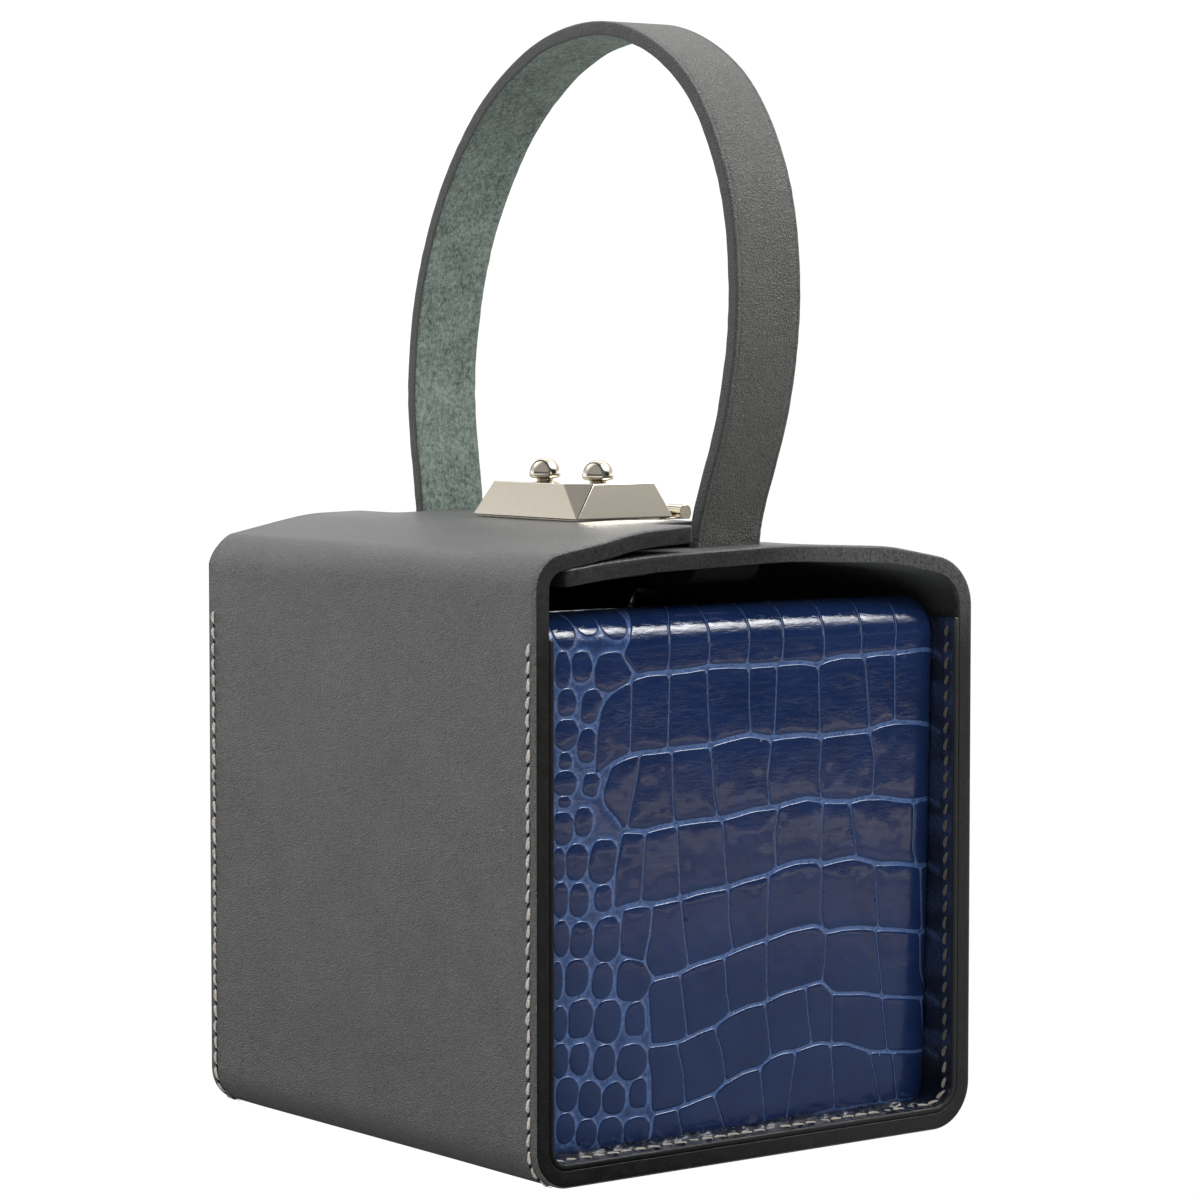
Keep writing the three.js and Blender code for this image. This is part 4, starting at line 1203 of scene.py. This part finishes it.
def make_handle():
    def tab(leg, inward):
        return rounded([(leg[0] + inward * STRAP_TAB, STRAP_TAB_Z, 0), (leg[0], STRAP_TAB_Z, STRAP_BEND), (leg[0], leg[1], 0)], step=0.12)

    line = Path(np.vstack([tab(LOOP[0], -1)[:-1], spline(LOOP), tab(LOOP[-1], 1)[::-1][1:]]))
    w, t = STRAP_W / 2, STRAP_T / 2
    r = 0.6
    face = [(-w + 0.95, t), (-w + 1.12, t - 0.09), (-w + 1.22, t - 0.10), (-w + 1.4, t), (-w + 2.2, t + 0.01)]
    face += [(x, t + 0.03) for x in np.linspace(-w + 3.2, w - 3.2, 9)] + [(-a, b) for a, b in face[::-1]]
    arc = lambda cx, cy, a0, a1: [(cx + r * math.cos(a), cy + r * math.sin(a)) for a in np.linspace(a0, a1, 5)]
    right = arc(w - r, t - r, math.pi / 2, 0) + [(w + 0.02, k) for k in (0.7, 0.0, -0.7)] + arc(w - r, -t + r, 0, -math.pi / 2)
    under = [(x, -t) for x in np.linspace(w - 1.5, -w + 1.5, 10)]
    left = [(-a, b) for a, b in right[::-1]]
    section = np.array(face + right + under + left)
    kinds = [0] * (len(face)) + [0] * 2 + [1] * (len(right) - 4) + [2] * (len(under) + 4) + [1] * (len(left) - 4) + [0] * 2
    count = int(line.length / 0.8)
    s = np.linspace(0, line.length, count)
    p, n, _ = line.at(s)
    side = section[:, 0][None].repeat(count, 0)
    out = section[:, 1][None].repeat(count, 0).copy()
    outer = (section[:, 1] > 1.3)[None, :]
    # creases pressed into the grain where the legs leave the flap
    for root in (s[np.argmin(np.hypot(p[:, 0] - LOOP[-1][0], p[:, 1] - 144.5))], s[np.argmin(np.hypot(p[:, 0] - LOOP[0][0], p[:, 1] - 144.5))]):
        for off, dep, ph in ((-2.6, 0.26, 0.4), (-1.1, 0.20, 1.7), (0.6, 0.24, 2.9), (2.3, 0.15, 4.1), (4.2, 0.09, 5.0)):
            sgn = -1 if root > line.length / 2 else 1
            where = s[:, None] - root - sgn * off + 0.5 * np.sin(side * 0.42 + ph) + 0.25 * np.sin(side * 1.1 + ph * 2)
            out -= np.where(outer, dep * np.exp(-((where / 0.42) ** 2)) * (1 - 0.3 * (side / w) ** 2), 0)
    soft = noise2(s[:, None] + 0 * side, side, 31, 3.2) * 0.07 + noise2(s[:, None] + 0 * side, side, 32, 11) * 0.10
    out += np.where((section[:, 1] < -1.3)[None, :], soft, 0)
    out += 0.08 * noise2(s[:, None] + 0 * side, side, 33, 22)
    sway = 0.35 * noise2(s, 0 * s, 34, 60) * smoothstep((p[:, 1] - 160) / 30)
    edge = 0.06 * noise2(s, 0 * s + 5, 35, 2.5)
    side = side + sway[:, None] + np.where(np.abs(section[:, 0]) > w - 0.3, np.sign(section[:, 0]), 0)[None, :] * edge[:, None]
    pos = np.stack([side, p[:, None, 0] + n[:, None, 0] * out, p[:, None, 1] + n[:, None, 1] * out], -1).reshape(-1, 3)
    m = len(section)
    faces = tube_faces(count, m)
    # Faces under the flaps (z below 138.5) take the near-black strap colour: painted shade.
    index = [3 if p[j // m, 1] < 138.5 else kinds[j % m] for j in range((count - 1) * m)] + [3, 3]
    o = make("strap_leather", pos, faces, [STRAP_GRAIN, STRAP_EDGE, STRAP_BACK, STRAP_PAINTED_SHADE], index)
    recalc(o)
    return o


# ------------------------------------------------------------------ clasp
COVER = dict(x0=-18.2, x1=10.8, y=21.0, z0=146.4, z1=154.7, wall=1.2)
PLATE = dict(x0=-16.2, x1=14.4, y=19.0, z0=145.8, z1=146.3, notch_x=11.9, notch_y=14.6)
HINGE_X, HINGE_Z, HINGE_R, HINGE_BORE, PIN_R = 14.6, 147.45, 1.7, 1.05, 0.75
SPLIT, KNUCKLE_END, KNUCKLE_GAP = 14.5, 21.0, 0.3
KNOB_X, KNOB_Y = -4.0, 10.6


def cover_shell(i, z_low):
    c = COVER
    k = (z_low - c["z0"]) / (c["z1"] - c["z0"])
    top = c["z1"] - i
    left, right, y = c["x0"] + i + 1.6 * k, c["x1"] - i - 3.6 * k, c["y"] - i - 2.6 * k
    tx0, tx1, ty = c["x0"] + 1.6 + i, c["x1"] - 3.9 - i, c["y"] - 2.6 - i
    low = [(left, -y, z_low), (right, -y, z_low), (right, y, z_low), (left, y, z_low)]
    up = [(tx0, -ty + 4.7, top), (tx0 + 5.3, -ty, top), (tx1, -ty, top), (tx1, ty, top), (tx0 + 4.8, ty, top), (tx0, ty - 4.2, top)]
    walls = [(0, 1, 6, 5), (1, 2, 7, 6), (2, 3, 8, 7), (3, 0, 4, 9), (0, 5, 4), (3, 9, 8)]
    return low + up, walls, [(4, 5, 6, 7, 8, 9)]


def ring_tube(x, z, outer, inner, y0, y1, seg=48, bevel=0.22):
    """A turned sleeve along y with its rims broken."""
    prof = [(outer - bevel, y0), (outer - bevel * 0.3, y0 + bevel * 0.3), (outer, y0 + bevel), (outer, y1 - bevel), (outer - bevel * 0.3, y1 - bevel * 0.3), (outer - bevel, y1), (inner + 0.1, y1), (inner, y1 - 0.1), (inner, y0 + 0.1), (inner + 0.1, y0)]
    m = len(prof)
    verts, faces = [], []
    for k in range(seg):
        a = 2 * math.pi * k / seg
        verts += [(x + r * math.cos(a), y, z + r * math.sin(a)) for r, y in prof]
    for k in range(seg):
        n = (k + 1) % seg
        faces += [(k * m + j, k * m + (j + 1) % m, n * m + (j + 1) % m, n * m + j) for j in range(m)]
    return verts, faces


def block(x0, x1, y0, y1, z0, z1):
    v = [(x, y, z) for z in (z0, z1) for x, y in ((x0, y0), (x1, y0), (x1, y1), (x0, y1))]
    return v, [(0, 3, 2, 1), (4, 5, 6, 7), (0, 1, 5, 4), (1, 2, 6, 5), (2, 3, 7, 6), (3, 0, 4, 7)]


def join(parts):
    verts, faces = [], []
    for v, f in parts:
        k = len(verts)
        verts += list(v)
        faces += [tuple(i + k for i in face) for face in f]
    return verts, faces


def bevelled(o, width, segments=3, angle=25):
    b = o.modifiers.new("bevel", "BEVEL")
    b.width = width * MM
    b.segments = segments
    b.limit_method = "ANGLE"
    b.angle_limit = math.radians(angle)
    b.harden_normals = True
    return o


def lathe(rows, x, y, seg=64, name="turned", material=None):
    verts, faces = [], []
    for r, z in rows:
        verts += [(x + r * math.cos(2 * math.pi * k / seg), y + r * math.sin(2 * math.pi * k / seg), z) for k in range(seg)]
    for i in range(len(rows) - 1):
        for k in range(seg):
            n = (k + 1) % seg
            faces.append((i * seg + k, i * seg + n, (i + 1) * seg + n, (i + 1) * seg + k))
    verts += [(x, y, rows[0][1]), (x, y, rows[-1][1])]
    a, b = len(verts) - 2, len(verts) - 1
    last = (len(rows) - 1) * seg
    faces += [(a, (k + 1) % seg, k) for k in range(seg)]
    faces += [(b, last + k, last + (k + 1) % seg) for k in range(seg)]
    o = make(name, verts, faces, [material or METAL])
    recalc(o)
    return o


def make_clasp():
    outer, walls, lid = cover_shell(0, COVER["z0"])
    inner, walls_in, lid_in = cover_shell(COVER["wall"], COVER["z0"])
    verts = outer + inner
    faces = [tuple(f) for f in walls + lid] + [tuple(i + 10 for i in f[::-1]) for f in walls_in + lid_in]
    faces += [(j, j + 10, (j + 1) % 4 + 10, (j + 1) % 4) for j in range(4)]
    cover = make("clasp_lid", verts, faces, [METAL], smooth=True)
    recalc(cover)
    bevelled(cover, 0.28)
    split = SPLIT - KNUCKLE_GAP
    sleeve = ring_tube(HINGE_X, HINGE_Z, HINGE_R, HINGE_BORE, -split, split)
    neck = block(COVER["x1"] - 1.0, HINGE_X - 1.1, -split, split, 146.76, 148.1)
    knuckle = make("clasp_lid_hinge", *join([sleeve, neck]), [METAL], smooth=True)
    recalc(knuckle)
    bevelled(knuckle, 0.12, 2, 40)

    p = PLATE
    shape = [(p["x0"], -p["y"]), (9.0, -p["y"]), (9.0, -20.2), (p["x1"], -20.2), (p["x1"], -p["notch_y"]), (p["notch_x"], -p["notch_y"]), (p["notch_x"], p["notch_y"]), (p["x1"], p["notch_y"]), (p["x1"], 20.2), (9.0, 20.2), (9.0, p["y"]), (p["x0"], p["y"])]
    hole = circle_loop(KNOB_X, 0, 3.6, 32)
    pts, tri = fill([np.array(shape, float), hole], np.zeros((0, 2)))
    k = len(pts)
    verts = [(a, b, p["z0"]) for a, b in pts] + [(a, b, p["z1"]) for a, b in pts]
    faces = [tuple(f[::-1]) for f in tri] + [tuple(f + k) for f in tri]
    for start, n in ((0, len(shape)), (len(shape), len(hole))):
        faces += [(start + j, start + (j + 1) % n, start + (j + 1) % n + k, start + j + k) for j in range(n)]
    plate = make("clasp_base", verts, faces, [METAL], smooth=True)
    recalc(plate)
    bevelled(plate, 0.12, 2, 40)
    ends = []
    for a, b in ((-KNUCKLE_END, -SPLIT), (SPLIT, KNUCKLE_END)):
        arch = [(HINGE_X + 1.75 * math.cos(t), HINGE_Z + (HINGE_R + 0.1) * math.sin(t)) for t in np.linspace(-0.3, math.pi + 0.3, 30)]
        arch += [(HINGE_X - 1.6, 145.82), (HINGE_X + 1.3, 145.82)]
        m = len(arch)
        ends.append(([(x, y, z) for y in (a, b) for x, z in arch], tube_faces(2, m)))
    knuckles = make("clasp_base_knuckles", *join(ends), [METAL], smooth=True)
    recalc(knuckles)
    bevelled(knuckles, 0.15, 3, 40)

    seg = 40
    prof = [(PIN_R - 0.12, -20.4), (PIN_R, -20.2), (PIN_R, 20.2), (PIN_R - 0.12, 20.4)]
    verts, faces = [], []
    for r, y in prof:
        verts += [(HINGE_X + r * math.cos(2 * math.pi * k / seg), y, HINGE_Z + r * math.sin(2 * math.pi * k / seg)) for k in range(seg)]
    faces = tube_faces(len(prof), seg)
    pin = make("hinge_rod", verts, faces, [METAL], smooth=False)
    recalc(pin)

    ball = [(1.3, 152.3), (1.3, 154.55), (1.9, 154.62), (2.0, 154.8), (1.95, 155.0), (2.3, 155.1), (2.9, 155.18), (3.3, 155.32)]
    low = 156.3
    ball += [(3.8 * math.cos(a), low + 3.8 * math.sin(a)) for a in np.linspace(-0.18, math.pi / 2 - 0.06, 22)]
    knobs = [lathe(ball, KNOB_X, sy * KNOB_Y, name=name) for name, sy in (("knob_ball_front", -1), ("knob_ball_back", 1))]
    post = lathe([(4.9, 134.9), (5.0, 135.1), (5.0, 135.9), (4.8, 136.1), (2.0, 136.1), (2.0, 149.6), (2.85, 150.0), (2.9, 150.2), (2.9, 151.1), (2.6, 151.4)], KNOB_X, 0, name="post_rivet")
    return cover, knuckle, plate, knuckles, pin, knobs, post


# ------------------------------------------------------------------ stitches
def stitch(centre, along, across, out, length, slant, r, bow, turn):
    """One thread stroke of two plies that lie side by side and meet at the holes."""
    n, m = 13, 7
    d = along * math.cos(slant) + across * math.sin(slant)
    e = np.cross(out, d)
    e = e * math.copysign(1.0, float(np.dot(e, across)))
    parts = []
    for side in (-1.0, 1.0):
        verts = []
        for i in range(n):
            t = -1 + 2 * i / (n - 1)
            rise = 0.12 + 0.16 * math.cos(t * math.pi / 2) - 0.55 * abs(t) ** 8 + side * 0.07 * math.sin(2.2 * t + turn)
            part = side * 0.95 * r * math.cos(t * math.pi / 2 * 0.9) * math.cos(0.35 * t + turn * 0.2)
            c = centre + d * (t * length / 2) + out * rise + e * (part + bow * (1 - t * t))
            fat = r * (1 - 0.35 * abs(t) ** 3)
            for j in range(m):
                b = 2 * math.pi * j / m
                verts.append(c + e * math.cos(b) * fat + out * math.sin(b) * fat * 0.85)
        parts.append((verts, tube_faces(n, m)))
    return parts


def slit(centre, along, across, out, length, slant, wide):
    """The awl's cut, drawn as a thin lens lying on the leather; its near-black colour is painted shade for the hole."""
    d = along * math.cos(slant) + across * math.sin(slant)
    e = np.cross(out, d)
    m = 10
    rim = []
    for j in range(m):
        a = 2 * math.pi * j / m
        rim.append(centre + d * math.cos(a) * length / 2 + e * math.sin(a) * wide / 2)
    verts = rim + [centre + out * 0.035, centre - out * 0.12]
    faces = [(j, (j + 1) % m, m) for j in range(m)] + [((j + 1) % m, j, m + 1) for j in range(m)]
    return verts, faces


def make_stitches():
    rng = np.random.default_rng(41)
    total = S_RIGHT - S_LEFT
    count = int(total / STITCH_PITCH)
    first = S_LEFT + (total - count * STITCH_PITCH) / 2 + STITCH_PITCH / 2
    threads, cuts = [], []
    for sgn in (-1, 1):
        y = sgn * (Y0 - STITCH_IN)
        for k in range(count):
            s = first + k * STITCH_PITCH
            p, n, t = band.at(np.array([s]))
            base = np.array([p[0, 0], y, p[0, 1]])
            out = np.array([n[0, 0], 0, n[0, 1]])
            along = np.array([t[0, 0], 0, t[0, 1]])
            across = np.array([0, float(-sgn), 0])
            low = 0.62 if abs(n[0, 1]) > 0.9 and p[0, 1] < 1 else 0.08
            jit = rng.uniform(-0.04, 0.04, 2)
            c = base - out * low + along * jit[0] + across * jit[1]
            threads += stitch(c, along, across, out, STITCH_LONG + rng.uniform(-0.15, 0.15), STITCH_SLANT + rng.uniform(-0.13, 0.13), rng.uniform(0.25, 0.31), rng.uniform(-0.48, 0.05), rng.uniform(-0.9, 0.9))
            c = base + out * (0.02 if low < 0.3 else -0.3) + along * (STITCH_PITCH / 2)
            cuts.append(slit(c, along, across, out, 1.5, SLIT_SLANT, 0.6))
    outside = make("stitches_outside", *join(threads), [THREAD])
    recalc(outside)
    cut = make("stitch_slits_outside", *join(cuts), [AWL_HOLE_SHADE])
    recalc(cut)
    uline = Path(rounded([(-60.8, STITCH_TOP, 0), (-60.8, 4.2, 4.8), (60.8, 4.2, 6.8), (60.8, STITCH_TOP, 0)], step=0.12))
    count = int(uline.length / STITCH_PITCH)
    mid = uline.length / 2
    threads, cuts = [], []
    for sgn in (-1, 1):
        y = sgn * (Y0 - STITCH_IN)
        for k in range(-(count // 2), count // 2 + 1):
            s = mid + (k + 0.5) * STITCH_PITCH
            if not 1.5 < s < uline.length - 1.5:
                continue
            p, n, t = uline.at(np.array([s]))
            out = -np.array([n[0, 0], 0, n[0, 1]])
            base = np.array([p[0, 0], y, p[0, 1]]) + out * 1.38
            along = np.array([t[0, 0], 0, t[0, 1]])
            across = np.array([0, float(sgn), 0])
            threads += stitch(base, along, across, out, 3.3 + rng.uniform(-0.2, 0.2), 0.30 + rng.uniform(-0.1, 0.1), 0.27, rng.uniform(-0.25, 0.1), rng.uniform(-0.8, 0.8))
            cuts.append(slit(base + along * (STITCH_PITCH / 2) - out * 0.02, along, across, out, 1.3, -0.5, 0.4))
    within = make("stitches_inside", *join(threads), [INNER_THREAD_SHADED])
    recalc(within)
    cut_in = make("stitch_slits_inside", *join(cuts), [AWL_HOLE_SHADE])
    recalc(cut_in)
    return outside, cut, within, cut_in


# ------------------------------------------------------------------ stage and light
def studio():
    """White backdrop behind the bag, a dark room in front of it and one large softbox."""
    world = bpy.data.worlds.new("studio")
    bpy.context.scene.world = world
    world.use_nodes = True
    n = Nodes("studio", world.node_tree)
    n.t.nodes.clear()
    out = n.new("ShaderNodeOutputWorld")
    x, y, z = n.xyz(n.new("ShaderNodeTexCoord").outputs["Generated"])
    ahead = n.math("ADD", n.math("MULTIPLY", x, math.sin(AZIMUTH)), n.math("MULTIPLY", y, math.cos(AZIMUTH)))
    backdrop = n.ramp(n.math("MAXIMUM", z, 0.0), [(h, v / 1.8) for h, v in BACKDROP_LEVELS])
    turn = n.math("DIVIDE", n.math("ARCTAN2", z, n.math("MULTIPLY", y, -1.0)), math.pi, clamp=True)
    box = n.ramp(turn, [(deg / 180, v) for deg, v in SOFTBOX])
    side = n.range(x, 0.12, 0.42)
    room = n.math("MULTIPLY_ADD", n.math("MULTIPLY", box, side), SOFTBOX_GAIN, ROOM)
    near_side = n.math("MULTIPLY", n.range(x, 0.1, -0.3), n.range(z, 0.05, 0.3, 0.04, 0.36))
    room = n.math("ADD", room, near_side)
    level = n.mix(n.range(ahead, -0.12, 0.22), room, n.math("MULTIPLY", backdrop, 1.8))
    gloss = n.new("ShaderNodeBackground")
    n.link(level, gloss.inputs[0])
    soft = n.new("ShaderNodeBackground")
    soft.inputs[0].default_value = (*WORLD_SOFT, 1.0)
    n.link(n.range(z, -0.05, 0.6, SKY[0], SKY[1]), soft.inputs[1])
    white = n.new("ShaderNodeBackground")
    white.inputs[0].default_value = (1.0, 1.0, 1.0, 1.0)
    white.inputs[1].default_value = 1.05
    path = n.new("ShaderNodeLightPath")
    a = n.new("ShaderNodeMixShader")
    b = n.new("ShaderNodeMixShader")
    n.link(path.outputs["Is Glossy Ray"], a.inputs[0])
    n.link(soft.outputs[0], a.inputs[1])
    n.link(gloss.outputs[0], a.inputs[2])
    n.link(path.outputs["Is Camera Ray"], b.inputs[0])
    n.link(a.outputs[0], b.inputs[1])
    n.link(white.outputs[0], b.inputs[2])
    n.link(b.outputs[0], out.inputs[0])


def softbox(name, centre, target, width, height, power, tint=(1, 1, 1)):
    data = bpy.data.lights.new(name, "AREA")
    data.shape = "RECTANGLE"
    data.size, data.size_y = width, height
    data.energy = power
    data.color = tint
    o = bpy.data.objects.new(name, data)
    bpy.context.scene.collection.objects.link(o)
    o.location = centre
    o.rotation_mode = "QUATERNION"
    o.rotation_quaternion = (Vector(target) - Vector(centre)).to_track_quat("-Z", "Y")
    o.visible_glossy = False
    return o


def make_floor():
    n = Nodes("pale_floor")
    n.t.nodes.remove(n.b)
    p = n.coords()
    x, y, _ = n.xyz(p)
    r = n.math("SQRT", n.math("ADD", n.math("MULTIPLY", x, x), n.math("MULTIPLY", y, y)))
    behind = n.range(r, 0.15, 1.2, 0.12, BACKDROP)
    table = n.ramp(n.math("DIVIDE", r, 3.0, clamp=True), [(d / 3.0, v) for d, v in TABLE])
    front = n.math("MULTIPLY", n.range(y, -0.02, -0.10), n.range(x, -0.05, 0.03))
    far = n.mix(front, behind, table)
    path = n.new("ShaderNodeLightPath")
    seen = n.new("ShaderNodeEmission")
    seen.inputs[0].default_value = (1.0, 1.0, 1.0, 1.0)
    seen.inputs[1].default_value = 1.02
    glow = n.new("ShaderNodeEmission")
    n.link(far, glow.inputs[0])
    mat = n.new("ShaderNodeBsdfDiffuse")
    mat.inputs[0].default_value = (0.5, 0.5, 0.5, 1.0)
    a = n.new("ShaderNodeMixShader")
    b = n.new("ShaderNodeMixShader")
    n.link(path.outputs["Is Glossy Ray"], a.inputs[0])
    n.link(mat.outputs[0], a.inputs[1])
    n.link(glow.outputs[0], a.inputs[2])
    n.link(path.outputs["Is Camera Ray"], b.inputs[0])
    n.link(a.outputs[0], b.inputs[1])
    n.link(seen.outputs[0], b.inputs[2])
    n.link(b.outputs[0], n.out.inputs["Surface"])
    k, size = 24, 6000.0
    xs = np.linspace(-size, size, k)
    verts = [(x, y, -0.05) for y in xs for x in xs]
    faces = [(j * k + i, j * k + i + 1, (j + 1) * k + i + 1, (j + 1) * k + i) for j in range(k - 1) for i in range(k - 1)]
    floor = make("floor", verts, faces, [n.m], smooth=False)


# What reflections see. The softbox by its angle above the front, the table by distance.
# The backdrop by the sine of the elevation.
BACKDROP_LEVELS = [(0.0, 1.6), (0.08, 1.5), (0.16, 0.95), (0.2, 0.72), (0.36, 0.72), (0.5, 1.2), (0.62, 1.7), (0.85, 1.4), (1.0, 0.7)]
SOFTBOX = [(0, 0.0), (24, 0.0), (30, 0.015), (36, 0.037), (43, 0.2), (49, 0.7), (55, 1.0), (66, 0.8), (80, 0.25), (110, 0.03)]
SOFTBOX_GAIN, ROOM, BACKDROP = 22.0, 0.03, 1.0
TABLE = [
    (0.0, (0.30, 0.33, 0.38)),
    (0.31, (0.30, 0.33, 0.38)),
    (0.35, (0.62, 0.55, 0.46)),
    (0.41, (0.66, 0.56, 0.46)),
    (0.43, (0.06, 0.06, 0.07)),
    (0.485, (0.05, 0.05, 0.06)),
    (0.505, (1.6, 1.36, 1.08)),
    (0.588, (1.6, 1.38, 1.10)),
    (0.606, (0.03, 0.03, 0.04)),
    (2.75, (0.02, 0.02, 0.03)),
    (3.0, (0.62, 0.60, 0.56)),
]
WORLD_SOFT = (0.98, 0.99, 1.0)
SKY = (0.25, 1.0)

STITCH_LONG, STITCH_SLANT, SLIT_SLANT = 3.3, 0.16, 0.75
STRAP_EDGE = grain_leather("strap_edge", srgb(70, 70, 71), srgb(53, 53, 54))

studio()
make_floor()
softbox("key_strip", (0.95, -1.35, 1.25), (0.0, -0.06, 0.12), 1.0, 0.45, 30)
softbox("top_soft", (-0.3, 0.35, 1.6), (0.0, 0.0, 0.12), 1.4, 1.0, 16)
softbox("left_soft", (-1.4, 0.5, 1.0), (0.0, 0.0, 0.08), 1.0, 1.0, 9)

leather = make_band()
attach(leather, "bag")
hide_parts("leather_band")
for o, node in zip(make_gussets(), ("front_gusset", "back_gusset")):
    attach(o, "bag")
    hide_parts(node)
strap = make_handle()
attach(strap, "bag")
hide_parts("handle_strap")
cover, knuckle, plate, knuckles, pin, knobs, post = make_clasp()
for o, node in ((plate, "clasp_plate"), (knuckles, "clasp_plate"), (pin, "hinge_pin"), (post, "latch_post")):
    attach(o, "bag")
    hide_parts(node)
for o, node in ((cover, "clasp_cover"), (knuckle, "clasp_cover"), (knobs[0], "knob_front"), (knobs[1], "knob_back")):
    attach(o, "cover")
    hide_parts(node)
for o in make_stitches():
    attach(o, "bag")

bpy.context.scene.view_settings.view_transform = "Standard"
